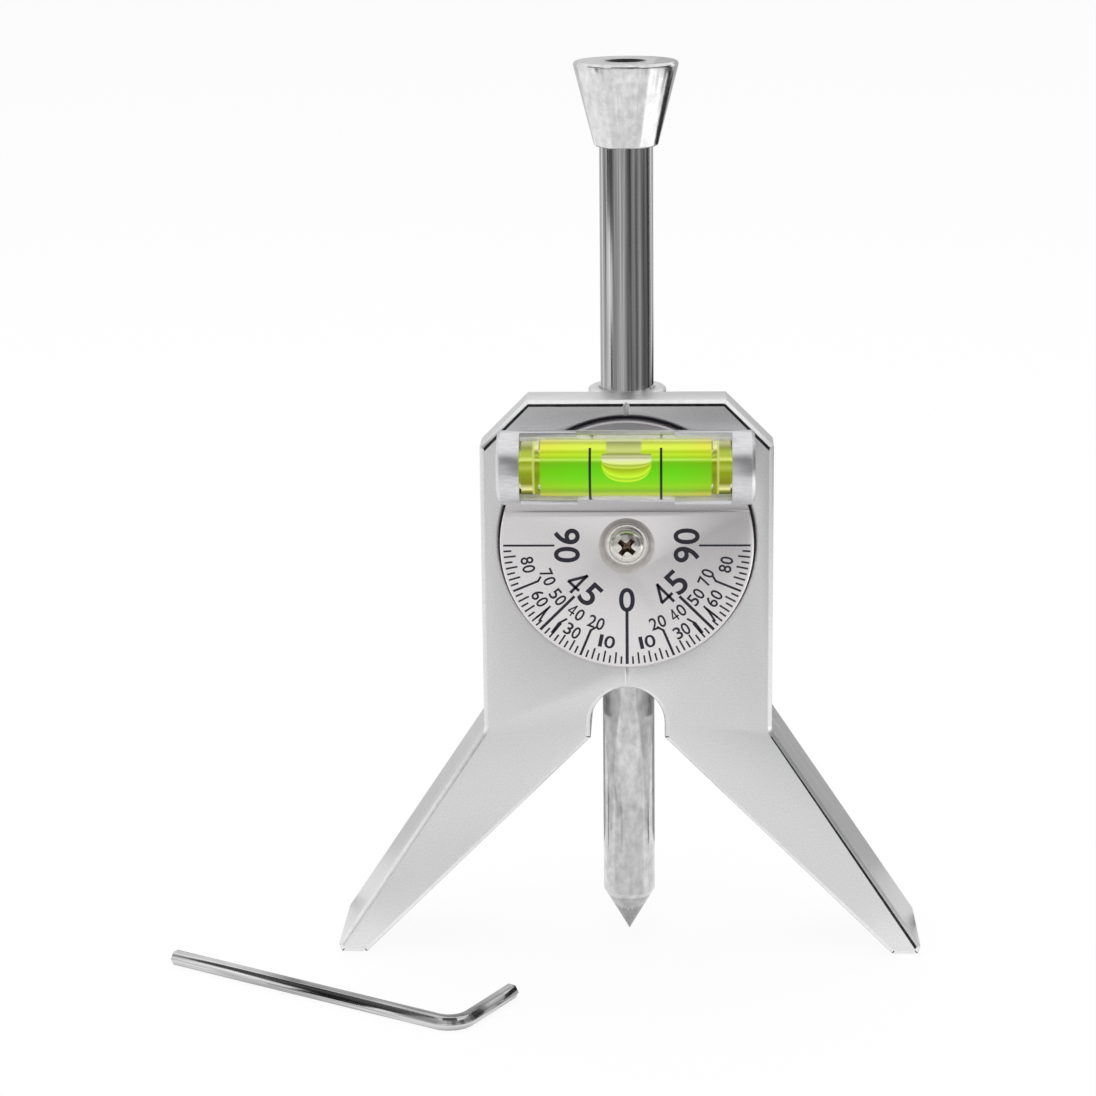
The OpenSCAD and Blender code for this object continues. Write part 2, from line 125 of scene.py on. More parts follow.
# %% [markdown]
# ## Fine grain
# Blasted or tumbled metal has a grain of about a quarter of a millimetre, and
# polished bar has streaks along it. Each finish could have a noise of its own,
# but they all need the same few nodes. So one node group holds them: it reads
# a noise of a given size, which may be stretched one way, mixes two tones with
# it, and turns it into a slight bump. A material places the group with its own
# tones, size and height.

# %% Grain group
FLOAT = "NodeSocketFloat"
COLOR = "NodeSocketColor"
VECTOR = "NodeSocketVector"


def add_node(tree, kind, settings=None):
    node = tree.nodes.new(kind)
    set_sockets(node, settings or {})
    return node


def new_group(name, inputs, outputs):
    group = bpy.data.node_groups.new(name, "ShaderNodeTree")
    for label, kind, value in inputs:
        socket = group.interface.new_socket(label, in_out="INPUT", socket_type=kind)
        socket.default_value = value
    for label, kind in outputs:
        group.interface.new_socket(label, in_out="OUTPUT", socket_type=kind)
    return group, group.nodes.new("NodeGroupInput"), group.nodes.new("NodeGroupOutput")


grain, grain_in, grain_out = new_group(
    "fine grain",
    [
        ("Light", COLOR, (0.7, 0.7, 0.7, 1)),
        ("Dark", COLOR, (0.6, 0.6, 0.6, 1)),
        ("Size", VECTOR, (1, 1, 1)),
        ("Height", FLOAT, 0.05),
    ],
    [("Color", COLOR), ("Normal", VECTOR)],
)
grain_place = grain.nodes.new("ShaderNodeTexCoord")
stretch = grain.nodes.new("ShaderNodeVectorMath")
stretch.operation = "MULTIPLY"
speckle = add_node(grain, "ShaderNodeTexNoise", {"Scale": 1.0, "Detail": 3.0, "Roughness": 0.6})
contrast = add_node(grain, "ShaderNodeMapRange", {"From Min": 0.3, "From Max": 0.7})
tones = grain.nodes.new("ShaderNodeMix")
tones.data_type = "RGBA"
relief = add_node(grain, "ShaderNodeBump", {"Distance": 0.1 * MM})
for source, target in (
    (grain_place.outputs["Object"], stretch.inputs[0]),
    (grain_in.outputs["Size"], stretch.inputs[1]),
    (stretch.outputs["Vector"], speckle.inputs["Vector"]),
    (speckle.outputs["Fac"], contrast.inputs["Value"]),
    (contrast.outputs["Result"], tones.inputs["Factor"]),
    (grain_in.outputs["Dark"], tones.inputs["A"]),
    (grain_in.outputs["Light"], tones.inputs["B"]),
    (speckle.outputs["Fac"], relief.inputs["Height"]),
    (grain_in.outputs["Height"], relief.inputs["Strength"]),
    (tones.outputs["Result"], grain_out.inputs["Color"]),
    (relief.outputs["Normal"], grain_out.inputs["Normal"]),
):
    grain.links.new(source, target)
print("group:", grain.name, "with", len(grain.links), "links")

# %% [markdown]
# ## Aluminium
# The head and the dial are satin aluminium with a fine blasted grain. The vial's tube is smoother, with its
# grain drawn out along it. The bevels are cut after the blasting, so they are brighter. The edges of the
# head's face show as dark lines, which are painted shade and dark reflection in a near-black finish. One
# flat grey for all would look like plastic, so each finish places the grain group with two tones and a size
# of its own. The sizes are grains to the metre along X, Y and Z.

# %% Aluminium
def metal(roughness):
    return {"Metallic": 1.0, "Roughness": roughness}


def place_grain(tree, dark, light, size, height):
    effect = tree.nodes.new("ShaderNodeGroup")
    effect.node_tree = grain
    set_sockets(effect, {"Dark": (*dark, 1), "Light": (*light, 1), "Size": size, "Height": height})
    return effect


def grained(name, dark, light, size, height, settings):
    material, tree, shader = new_material(name)
    set_sockets(shader, settings)
    effect = place_grain(tree, dark, light, size, height)
    tree.links.new(effect.outputs["Color"], shader.inputs["Base Color"])
    tree.links.new(effect.outputs["Normal"], shader.inputs["Normal"])
    return material


head_look = grained(
    "head aluminium", (0.74, 0.74, 0.745), (0.88, 0.88, 0.885), (4000, 4000, 4000), 0.25, metal(0.42)
)
dial_look = grained(
    "dial aluminium", (0.80, 0.775, 0.78), (0.95, 0.925, 0.93), (5000, 5000, 5000), 0.2, metal(0.42)
)
tube_look = grained(
    "tube aluminium", (0.66, 0.66, 0.68), (0.80, 0.80, 0.82), (600, 3000, 3000), 0.1, metal(0.34)
)
bevel_look = grained(
    "cut bevel", (0.80, 0.80, 0.805), (0.90, 0.90, 0.905), (900, 900, 900), 0.05, metal(0.3)
)
# Painted shade and dark reflection for the edges of the head's face.
edge_shade_look = grained(
    "painted edge shade", (0.02, 0.02, 0.022), (0.07, 0.07, 0.075), (900, 900, 900), 0.05, metal(0.35)
)
print("aluminium finishes: 5")

# %% [markdown]
# ## Small metal parts
# The pivot screw and its washer are nickel plated, the sleeve is turned brass, the spring washer is grey
# spring steel and the lock screw is blackened. The screw's cross recess is dark and a little brown: its dark
# is painted shade in the recess. Small parts need their grain as well, because they are seen close by on
# other objects that reuse them.

# %% Small metal parts
screw_look = grained(
    "plated screw", (0.60, 0.58, 0.53), (0.80, 0.78, 0.74), (1500, 1500, 1500), 0.05, metal(0.15)
)
bush_look = grained(
    "turned brass", (0.50, 0.36, 0.12), (0.62, 0.46, 0.18), (900, 900, 900), 0.05, metal(0.3)
)
spring_look = grained(
    "spring steel", (0.14, 0.14, 0.15), (0.20, 0.20, 0.21), (900, 900, 900), 0.05, metal(0.3)
)
lock_look = grained(
    "blackened steel", (0.02, 0.02, 0.02), (0.05, 0.05, 0.05), (2500, 2500, 2500), 0.1,
    {"Metallic": 0.6, "Roughness": 0.4},
)
# Painted shade for the inside of the cross recess.
shaded_recess_look = grained(
    "cross recess", (0.02, 0.012, 0.008), (0.30, 0.20, 0.15), (2600, 2600, 2600), 0.2,
    {"Metallic": 0.8, "Roughness": 0.35},
)
print("small metal finishes: 5")

# %% [markdown]
# ## A mask by height
# Several finishes change along the tool: the rod is streaked above and ground
# near its point, and the underside of the key is darker. A painted map would
# do it, but each piece would need one. This group reads the height of a point
# above the feet instead, and hands back a mask that goes from 0 at the start
# height to 1 at the end height. The mesh's own coordinates are used, so the
# mask stays with a piece when it moves.

# %% Height group
def math_node(tree, operation, *values):
    """A math node; each value is a number or an output socket."""
    node = tree.nodes.new("ShaderNodeMath")
    node.operation = operation
    for socket, value in zip(node.inputs, values):
        if isinstance(value, (int, float)):
            socket.default_value = value
        else:
            tree.links.new(value, socket)
    return node.outputs["Value"]


def own_axes(tree):
    """The X, Y and Z of a point in the mesh's own coordinates."""
    place = tree.nodes.new("ShaderNodeTexCoord")
    parts = tree.nodes.new("ShaderNodeSeparateXYZ")
    tree.links.new(place.outputs["Object"], parts.inputs["Vector"])
    return parts.outputs


height_mask, height_in, height_out = new_group(
    "height mask", [("Start", FLOAT, 0.0), ("End", FLOAT, 1.0)], [("Share", FLOAT)]
)
rise = height_mask.nodes.new("ShaderNodeMapRange")
height_mm = math_node(height_mask, "MULTIPLY", own_axes(height_mask)["Z"], 1 / MM)
height_mask.links.new(height_mm, rise.inputs["Value"])
height_mask.links.new(height_in.outputs["Start"], rise.inputs["From Min"])
height_mask.links.new(height_in.outputs["End"], rise.inputs["From Max"])
height_mask.links.new(rise.outputs["Result"], height_out.inputs["Share"])
print("group:", height_mask.name)


def share_by_height(tree, start, end):
    """0 before the start height and 1 past the end height, both in mm; the end may be the lower one."""
    node = tree.nodes.new("ShaderNodeGroup")
    node.node_tree = height_mask
    set_sockets(node, {"Start": start, "End": end})
    return node.outputs["Share"]


# %% [markdown]
# ## The rod
# The rod is polished bar, with fine streaks that run along it, and its end is
# ground, which leaves pale mottled patches and a duller cone. Two materials
# on two pieces would leave a hard line between them. One material with both
# grains, mixed by the height mask, fades from one to the other.

# %% Rod
GROUND_TO, STREAKED_FROM = 60, 80
CONE_TO, SHANK_FROM = 7.2, 7.6


def base_socket(material):
    return material.node_tree.nodes["Principled BSDF"].inputs["Base Color"]


def mixed(tree, fac, first, second):
    """One colour where the factor is 0, the other where it is 1."""
    node = tree.nodes.new("ShaderNodeMix")
    node.data_type = "RGBA"
    tree.links.new(fac, node.inputs["Factor"])
    tree.links.new(first, node.inputs["A"])
    tree.links.new(second, node.inputs["B"])
    return node.outputs["Result"]


def darken(material, share, factor):
    """Where the share is 1, the material's colour is multiplied by the factor."""
    tree = material.node_tree
    base = base_socket(material)
    node = tree.nodes.new("ShaderNodeMix")
    node.data_type = "RGBA"
    node.blend_type = "MULTIPLY"
    node.inputs["B"].default_value = (factor, factor, factor, 1)
    tree.links.new(share, node.inputs["Factor"])
    tree.links.new(base.links[0].from_socket, node.inputs["A"])
    tree.links.new(node.outputs["Result"], base)


punch_look = grained(
    "polished rod", (0.10, 0.10, 0.105), (0.86, 0.86, 0.87), (1500, 1500, 9), 0.06, metal(0.14)
)
tree = punch_look.node_tree
streaks = base_socket(punch_look).links[0].from_socket
ground = place_grain(tree, (0.50, 0.50, 0.50), (0.74, 0.74, 0.74), (650, 650, 420), 0.05)
upper = share_by_height(tree, GROUND_TO, STREAKED_FROM)
tree.links.new(mixed(tree, upper, ground.outputs["Color"], streaks), base_socket(punch_look))
darken(punch_look, share_by_height(tree, SHANK_FROM, CONE_TO), 0.7)
print("rod: streaked above", STREAKED_FROM, "mm, ground below", GROUND_TO, "mm")

# %% [markdown]
# ## The key
# The hex key is bright plated steel, drawn through a die, which leaves streaks
# along its flats. Its lowest tenths of a millimetre lie in its own shade, close
# to the floor, and look darker. The streaks are the grain group again, with a
# fine size upright and a coarse one along the floor.

# %% Key
KEY_SHADE_TO, KEY_LIGHT_FROM = 0.1, 0.9
key_look = grained(
    "plated key", (0.22, 0.22, 0.23), (0.98, 0.98, 0.98), (40, 40, 2600), 0.02, metal(0.10)
)
darken(key_look, share_by_height(key_look.node_tree, KEY_LIGHT_FROM, KEY_SHADE_TO), 0.55)
print("key: darker below", KEY_LIGHT_FROM, "mm")

# %% [markdown]
# ## The dial's upper strip
# The level's tube lies across the dial, and the strip of the dial above it is
# in the tube's shade. The lamps of a studio are too soft to show that, so the
# height mask lowers the tone of the dial's own metal there.

# %% Dial strip
screw_low, screw_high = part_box("pivot_screw")
DIAL_Z = round((screw_low.z + screw_high.z) / 2, 5)
STRIP_FROM, STRIP_FULL = DIAL_Z / MM + 18, DIAL_Z / MM + 19
darken(dial_look, share_by_height(dial_look.node_tree, STRIP_FROM, STRIP_FULL), 0.56)
print("the dial's axis is", DIAL_Z / MM, "mm over the feet")

# %% [markdown]
# ## The cap
# The cap that the hammer strikes is turned steel, with a drilled hollow in its top. The hollow lies in shade
# inside, and that shade is painted into the cap's colour. It could be a material of its own on the hollow's
# faces, but a mask needs no choice of faces: it is 1 near the axis and near the top, which no other part of
# the cap is.

# %% Cap
HOLLOW_R = 3.5
HOLLOW_DEPTH = 2.0


def step(tree, value, zero_at, one_at):
    """0 before the first value and 1 past the second, which may be the smaller one."""
    node = add_node(tree, "ShaderNodeMapRange", {"From Min": zero_at, "From Max": one_at})
    tree.links.new(value, node.inputs["Value"])
    return node.outputs["Result"]


def distance_from_axis(tree):
    """How far a point of the mesh lies from the punch's axis, in mm."""
    parts = own_axes(tree)
    squares = [math_node(tree, "MULTIPLY", parts[axis], parts[axis]) for axis in "XY"]
    return math_node(tree, "MULTIPLY", math_node(tree, "SQRT", math_node(tree, "ADD", *squares)), 1 / MM)


cap_look = grained(
    "turned cap", (0.60, 0.60, 0.60), (0.84, 0.84, 0.84), (700, 700, 500), 0.10, metal(0.15)
)
tree = cap_look.node_tree
cap_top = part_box("striker_cap")[1].z / MM
near_top = share_by_height(tree, cap_top - HOLLOW_DEPTH, cap_top - HOLLOW_DEPTH + 0.1)
near_axis = step(tree, distance_from_axis(tree), HOLLOW_R + 0.2, HOLLOW_R)
# Painted shade: the cap's colour is nearly black inside the hollow.
darken(cap_look, math_node(tree, "MULTIPLY", near_axis, near_top), 0.04)
print("the cap's top is", round(cap_top, 2), "mm over the feet")

# %% [markdown]
# ## Places on the vial
# The light that falls into a level makes its top yellow and its body green, in rows along the vial, and here
# that light is painted into the colour. To put colours in rows, a material has to know where on the vial a
# point is. The group below turns a point into two numbers: its height angle round the vial's axis, in
# degrees above the horizontal, and its place along the axis in mm. The fluid and the stoppers both use it.

# %% Vial group
barrel_low, barrel_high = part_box("vial_barrel")
AXIS = Vector((0, (barrel_low.y + barrel_high.y) / 2, (barrel_low.z + barrel_high.z) / 2))
vial_place, _, vial_out = new_group("vial place", [], [("Angle", FLOAT), ("Along", FLOAT)])
spot = vial_place.nodes.new("ShaderNodeTexCoord")
centred = vial_place.nodes.new("ShaderNodeVectorMath")
centred.operation = "SUBTRACT"
centred.inputs[1].default_value = AXIS
parts = vial_place.nodes.new("ShaderNodeSeparateXYZ")
vial_place.links.new(spot.outputs["Object"], centred.inputs[0])
vial_place.links.new(centred.outputs["Vector"], parts.inputs["Vector"])
forward = math_node(vial_place, "MULTIPLY", parts.outputs["Y"], -1.0)
turn = math_node(vial_place, "ARCTAN2", parts.outputs["Z"], forward)
degrees = math_node(vial_place, "DEGREES", turn)
along = math_node(vial_place, "MULTIPLY", parts.outputs["X"], 1 / MM)
vial_place.links.new(degrees, vial_out.inputs["Angle"])
vial_place.links.new(along, vial_out.inputs["Along"])
print("group:", vial_place.name)

# %% [markdown]
# ## Light bent by the barrel
# The round barrel works as a lens: what shows at some height of its front lies
# elsewhere on the fluid. Trial and error would place the rows in the end, but
# the law of refraction does it at once. The function takes a height in mm
# over the vial's axis, as seen from the front, and gives the angle on the
# fluid that shows there.

# %% Bent light
BARREL_R = (barrel_high.z - barrel_low.z) / 2
# The meshes of the fluid and the stoppers are this much larger than the bore, so no air is left between.
WET = 0.03 * MM


def radius_of(name):
    low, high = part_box(name)
    return (high.z - low.z) / 2


FLUID_R = radius_of("vial_fluid") + WET
STOPPER_R = radius_of("left_stopper") + WET


def angle_shown(height, radius):
    offset = height * MM
    bend = math.asin(offset / BARREL_R) - math.asin(offset / (ACRYLIC_IOR * BARREL_R))
    inner = math.asin(max(-1, min(1, offset / (ACRYLIC_IOR * radius))))
    return math.degrees(TILT_DOWN + bend + inner)


print("1 mm up shows the fluid at", round(angle_shown(1, FLUID_R), 1), "degrees")

# %% [markdown]
# ## Rows of light
# Each row is a height and a tone. The tones have names, because the same ones come back in the fluid, in the
# bubble and in the stoppers. The rows are painted light. The body is green with a yellow top where the light
# falls in, and a painted gleam along it. The bubble shows a pale flat top, a white line and a yellow bowl,
# all painted light and reflection. The stoppers are amber, with painted light and shine, behind a shell
# whose face differs a little.

# %% Rows of light
# Red, green and blue as shown on screen, from 0 to 255.
TONES = {
    "straw": (190, 195, 110), "cream": (225, 235, 135), "moss": (190, 205, 75), "yellow": (230, 250, 80),
    "gold": (180, 215, 20), "lemon": (200, 240, 45), "lime": (165, 215, 35), "gleam": (190, 250, 95),
    "leaf": (130, 200, 35), "deep green": (110, 200, 20), "green": (110, 215, 20),
    "fresh green": (120, 220, 25), "light green": (150, 220, 30), "olive": (140, 190, 45),
    "haze": (215, 220, 170), "dim haze": (150, 155, 95), "mist": (205, 215, 128), "shade": (145, 155, 70),
    "fog": (205, 208, 155), "grey fog": (190, 190, 145), "white": (238, 240, 200), "glow": (235, 250, 150),
    "khaki": (168, 188, 58), "dark gold": (160, 185, 25), "pale lemon": (210, 235, 85),
    "bright lemon": (210, 255, 60), "pale": (248, 248, 170), "shine": (230, 243, 130),
    "honey": (180, 197, 75), "amber": (142, 163, 25), "dark amber": (118, 142, 5),
    "bronze": (132, 135, 25), "umber": (60, 55, 25),
}


def toned(radius, table):
    return [(angle_shown(height, radius), TONES[tone]) for height, tone in table]


# Painted light: the yellow top and the gleam along the fluid.
BODY = toned(FLUID_R, [
    (4.9, "straw"), (4.65, "cream"), (4.25, "moss"), (3.7, "yellow"), (3.15, "yellow"), (2.6, "gold"),
    (2.15, "lemon"), (1.6, "lime"), (1.25, "gleam"), (0.85, "leaf"), (0.5, "deep green"), (-0.8, "green"),
    (-2.1, "fresh green"), (-3.4, "light green"), (-4.15, "olive"), (-4.6, "moss"),
])
# Painted light and reflection in the bubble.
BUBBLE = toned(FLUID_R, [
    (4.6, "haze"), (4.3, "dim haze"), (3.1, "mist"), (2.65, "mist"), (2.2, "shade"), (1.85, "fog"),
    (1.55, "grey fog"), (1.25, "white"), (0.55, "glow"), (0.15, "khaki"), (-0.15, "pale lemon"),
    (-0.5, "dark gold"), (-1.4, "lemon"), (-1.8, "bright lemon"), (-2.15, "lime"), (-2.45, "bright lemon"),
    (-2.8, "light green"),
])
# Painted light and shine in the stoppers.
STOPPER_INNER = toned(STOPPER_R, [
    (4.1, "haze"), (3.3, "pale"), (2.55, "bronze"), (2.0, "honey"), (1.6, "amber"), (1.25, "shine"),
    (0.8, "dark amber"), (-0.3, "amber"), (-1.6, "dark amber"), (-3.2, "amber"), (-4.5, "bronze"),
])
STOPPER_OUTER = toned(STOPPER_R, [
    (4.1, "grey fog"), (3.3, "shade"), (2.4, "honey"), (1.8, "honey"), (1.25, "shine"), (0.8, "amber"),
    (-0.2, "honey"), (-1.0, "amber"), (-2.9, "bronze"), (-3.8, "pale"), (-4.2, "bronze"), (-4.6, "umber"),
])
print("rows:", len(BODY), "in the body,", len(BUBBLE), "in the bubble")

# %% [markdown]
# ## From rows to a ramp
# A colour ramp holds the rows and blends between them. It reads the height
# angle, which is first brought from degrees to the ramp's 0 to 1. Shaders work
# with linear light, so each screen tone is turned into it on the way.

# %% Colour ramps
ANGLE_LOW, ANGLE_HIGH = -110, 140


def linear(red, green, blue):
    """A colour given as shown on screen, 0 to 255, as the linear values that a shader takes."""
    shown = [value / 255 for value in (red, green, blue)]
    return [v / 12.92 if v <= 0.04045 else ((v + 0.055) / 1.055) ** 2.4 for v in shown]


def ramp(tree, angle, stops):
    """A colour ramp over the height angle; the stops are (angle, (red, green, blue) on screen)."""
    span = step(tree, angle, ANGLE_LOW, ANGLE_HIGH)
    node = tree.nodes.new("ShaderNodeValToRGB")
    points = node.color_ramp.elements
    stops = sorted(stops)
    while len(points) < len(stops):
        points.new(1.0)
    for point, (value, _) in zip(points, stops):
        point.position = (value - ANGLE_LOW) / (ANGLE_HIGH - ANGLE_LOW)
    for point, (_, colour) in zip(points, stops):
        point.color = (*linear(*colour), 1)
    tree.links.new(span, node.inputs["Fac"])
    return node.outputs["Color"]


print("mid grey in linear light:", [round(v, 3) for v in linear(128, 128, 128)])

# %% [markdown]
# ## The bubble's outline
# From the front the bubble shows as a bowl: its rows lie apart in the middle
# and run together towards its two ends. Above the bowl only the flat top of
# the hollow shows, which is narrower. A modelled bubble bends too few rays to
# look like this in a short render, so the outline is worked out with math
# nodes. Each angle below the bowl's rim is divided by a number that
# falls from 1 in the middle to almost 0 at the ends.

# %% Bubble outline
BOWL_RIM = angle_shown(1.15, FLUID_R)
BOWL_BOTTOM = angle_shown(-2.65, FLUID_R)
LID = angle_shown(2.25, FLUID_R)
BUBBLE_HALF_SHOWN = 4.4
BUBBLE_MIDDLE = 0.15
LID_HALF = 2.8
LID_MIDDLE = -0.35


def bowl(tree, angle, out):
    """The height angle of the bubble's rows; out is 0 in its middle and 1 at its ends."""
    left = math_node(tree, "SUBTRACT", 1.0, math_node(tree, "POWER", out, 2.3))
    squeeze = math_node(tree, "POWER", math_node(tree, "MAXIMUM", left, 0.0001), 0.435)
    below = math_node(tree, "MAXIMUM", math_node(tree, "SUBTRACT", BOWL_RIM, angle), 0.0)
    above = math_node(tree, "MAXIMUM", math_node(tree, "SUBTRACT", angle, BOWL_RIM), 0.0)
    deep = math_node(tree, "DIVIDE", below, squeeze)
    return math_node(tree, "ADD", math_node(tree, "SUBTRACT", BOWL_RIM, deep), above)


def mixed_value(tree, fac, first, second):
    node = tree.nodes.new("ShaderNodeMix")
    tree.links.new(fac, node.inputs["Factor"])
    tree.links.new(first, node.inputs["A"])
    tree.links.new(second, node.inputs["B"])
    return node.outputs["Result"]


def inside_bubble(tree, angle, along, out, rows):
    """1 where the bubble shows, 0 where the body of the fluid does."""
    over_bottom = step(tree, rows, BOWL_BOTTOM - 1.5, BOWL_BOTTOM + 1.5)
    from_middle = math_node(tree, "ABSOLUTE", math_node(tree, "SUBTRACT", along, LID_MIDDLE))
    in_lid = step(tree, from_middle, LID_HALF + 0.5, LID_HALF)
    in_bowl = step(tree, out, 1.0, 0.95)
    in_width = mixed_value(tree, step(tree, angle, LID - 1.0, LID + 2.0), in_bowl, in_lid)
    return math_node(tree, "MULTIPLY", over_bottom, in_width)


print("the bowl runs from", round(BOWL_BOTTOM), "to", round(BOWL_RIM), "degrees")

# %% [markdown]
# ## The fluid
# The fluid is fluorescent: it takes in light from everywhere and gives it back as green. A tinted glass
# would stay dull here, because it only takes light away. So the colour goes into the emission, and the base
# is almost black, so that the light on it adds nothing. The glow is partly that fluorescence and partly
# painted light, because its rows of light, gleam and bubble stay the same under any lamp. Towards the ends
# the fluid is more olive.

# %% Fluid finish
# The glow of the fluid and the stoppers, which carries their painted light.
GLOW_AND_PAINTED_LIGHT = 0.93
OLIVE_FROM, OLIVE_TO = 9.5, 15.0


def vial_sockets(tree):
    place = tree.nodes.new("ShaderNodeGroup")
    place.node_tree = vial_place
    return place.outputs["Angle"], place.outputs["Along"]


def body_colour(tree, angle, along):
    green = ramp(tree, angle, BODY)
    olive = ramp(tree, angle, [(a, (min(255, r + 14), g - 18, b)) for a, (r, g, b) in BODY])
    near_end = step(tree, math_node(tree, "ABSOLUTE", along), OLIVE_FROM, OLIVE_TO)
    return mixed(tree, math_node(tree, "MULTIPLY", near_end, 0.55), green, olive)


fluid_look, tree, shader = new_material("fluorescent fluid")
set_sockets(shader, {
    "Base Color": (0.01, 0.02, 0, 1), "Roughness": 0.15, "IOR": ACRYLIC_IOR,
    "Specular IOR Level": 0.0, "Emission Strength": GLOW_AND_PAINTED_LIGHT,
})
angle, along = vial_sockets(tree)
from_middle = math_node(tree, "ABSOLUTE", math_node(tree, "SUBTRACT", along, BUBBLE_MIDDLE))
out = math_node(tree, "DIVIDE", from_middle, BUBBLE_HALF_SHOWN)
rows = bowl(tree, angle, out)
share = inside_bubble(tree, angle, along, out, rows)
colour = mixed(tree, share, body_colour(tree, angle, along), ramp(tree, rows, BUBBLE))
tree.links.new(colour, shader.inputs["Emission Color"])
print("nodes in the fluid:", len(tree.nodes))

# %% [markdown]
# ## The stoppers
# Two amber stoppers close the vial. Each has an inner part and an outer one, with a pale line between them
# where the shell begins. The two parts could be two meshes, but they are one moulding, so one material
# changes its rows at the line. The stoppers glow though they are no lamp: their rows are painted light in
# the emission.

# %% Stopper finish
SHELL_LINE = 16.0
LINE_TONES = [(100, (215, 222, 140)), (-60, (206, 210, 110))]
stopper_look, tree, shader = new_material("amber plastic")
set_sockets(shader, {
    "Base Color": (0.02, 0.02, 0, 1), "Roughness": 0.3, "Specular IOR Level": 0.0, "Emission Strength": GLOW_AND_PAINTED_LIGHT,
})
angle, along = vial_sockets(tree)
inner, outer = ramp(tree, angle, STOPPER_INNER), ramp(tree, angle, STOPPER_OUTER)
from_middle = math_node(tree, "ABSOLUTE", along)
colour = mixed(tree, step(tree, from_middle, SHELL_LINE - 0.2, SHELL_LINE + 0.2), inner, outer)
from_line = math_node(tree, "ABSOLUTE", math_node(tree, "SUBTRACT", from_middle, SHELL_LINE))
line_share = math_node(tree, "MULTIPLY", step(tree, from_line, 0.3, 0.1), 0.8)
colour = mixed(tree, line_share, colour, ramp(tree, angle, LINE_TONES))
tree.links.new(colour, shader.inputs["Emission Color"])
print("the stoppers' line is", SHELL_LINE, "mm from the middle")

# %% [markdown]
# ## Every piece gets its finish
# The CAD pieces come in without a look. A table from a piece's name to its
# material is easier to check than one line for each piece, and the loop below
# stops with an error if a name in it is wrong.

# %% Assign materials
looks = {
    "head_body": head_look,
    "punch_rod": punch_look,
    "striker_cap": cap_look,
    "dial_disc": dial_look,
    "pivot_screw": screw_look,
    "pivot_washer": screw_look,
    "pivot_bush": bush_look,
    "spring_washer": spring_look,
    "vial_tube": tube_look,
    "left_tube_plug": tube_look,
    "right_tube_plug": tube_look,
    "vial_barrel": barrel_look,
    "vial_fluid": fluid_look,
    "left_stopper": stopper_look,
    "right_stopper": stopper_look,
    "left_index_ring": index_look,
    "right_index_ring": index_look,
    "lock_screw": lock_look,
    "lock_pad": pad_look,
    "hex_key": key_look,
}
for name, look in looks.items():
    nodes[name].data.materials.clear()
    nodes[name].data.materials.append(look)
print("pieces with a finish:", len(looks), "of", len(nodes))

# %% [markdown]
# ## Ink on the dial
# The dial's marks are printed. They could be a picture laid on the face, but a
# picture blurs when one comes close. Here each mark is a thin closed plate of
# ink that stands a fiftieth of a millimetre off the face, so it stays sharp and
# turns with the dial. Angles are counted from the bottom of the dial, and the
# tops of the numerals point to its centre.

# %% Ink helpers
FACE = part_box("dial_disc")[0].y
CENTRE = Vector((0, FACE, DIAL_Z))
INK_DEPTH = 0.02 * MM


def on_dial(angle, across, outward, lift):
    """The point at an angle on the dial, so far across and so far out from the centre."""
    a = math.radians(angle)
    x = outward * math.sin(a) + across * math.cos(a)
    z = -outward * math.cos(a) + across * math.sin(a)
    return CENTRE + Vector((x, -lift, z))


def close_plate(marks, under, over):
    """The six faces of a thin plate, from its four lower and four upper corners."""
    marks.faces.new(over)
    marks.faces.new(under[::-1])
    for i in range(4):
        j = (i + 1) % 4
        marks.faces.new((under[i], under[j], over[j], over[i]))


def add_bar(marks, corners):
    """A plate over four corners, each (angle, across, outward)."""
    under = [marks.verts.new(on_dial(a, c, r, -INK_DEPTH)) for a, c, r in corners]
    over = [marks.verts.new(on_dial(a, c, r, INK_DEPTH)) for a, c, r in corners]
    close_plate(marks, under, over)


def finish_marks(marks, name):
    bmesh.ops.recalc_face_normals(marks, faces=marks.faces)
    mesh = bpy.data.meshes.new(name)
    marks.to_mesh(mesh)
    marks.free()
    mesh.materials.append(ink_and_shade_look)
    piece = bpy.data.objects.new(name, mesh)
    bpy.context.scene.collection.objects.link(piece)
    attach(piece, "dial")
    print(name, "faces:", len(mesh.polygons))


print("the dial's face is at Y =", round(FACE / MM, 2), "mm")

# %% [markdown]
# ## The graduation
# Each quarter of the dial has 32 steps, with short and long lines in turn. The
# lines of 0, 45 and 90 degrees are longer and thicker. A loop sets the regular
# ones on both sides at once, and a short table holds the ones that differ.

# %% Graduation
RIM = 21.9 * MM
STEP = 90 / 32
SHORT_LINE, LONG_LINE = 1.4 * MM, 2.1 * MM
# Angle, inner end, how far the outer end stays from the rim, and width, in mm.
OWN_LINES = (
    (90, 12.8, 0, 0.36), (45, 13.2, 0, 0.52), (22.5, 16.8, 0, 0.45), (67.5, 17.0, 0, 0.4),
    (14 * STEP, 18.5, 1, 0.36), (18 * STEP, 18.2, 1, 0.36),
)
STEPS_WITH_OWN_LINE = (8, 16, 24)


def add_line(marks, angle, inner, outer, width):
    half = width / 2
    outline = ((-half, outer), (half, outer), (half, inner), (-half, inner))
    add_bar(marks, [(angle, across, outward) for across, outward in outline])


marks = bmesh.new()
for side in (-1, 1):
    for k in range(1, 32):
        if k not in STEPS_WITH_OWN_LINE:
            length = SHORT_LINE if k % 2 else LONG_LINE
            add_line(marks, side * k * STEP, RIM - length, RIM, 0.32 * MM)
    for angle, inner, short, width in OWN_LINES:
        add_line(marks, side * angle, inner * MM, RIM - short * MM, width * MM)
add_line(marks, 0, 12.1 * MM, RIM, 0.55 * MM)
finish_marks(marks, "dial_graduation")

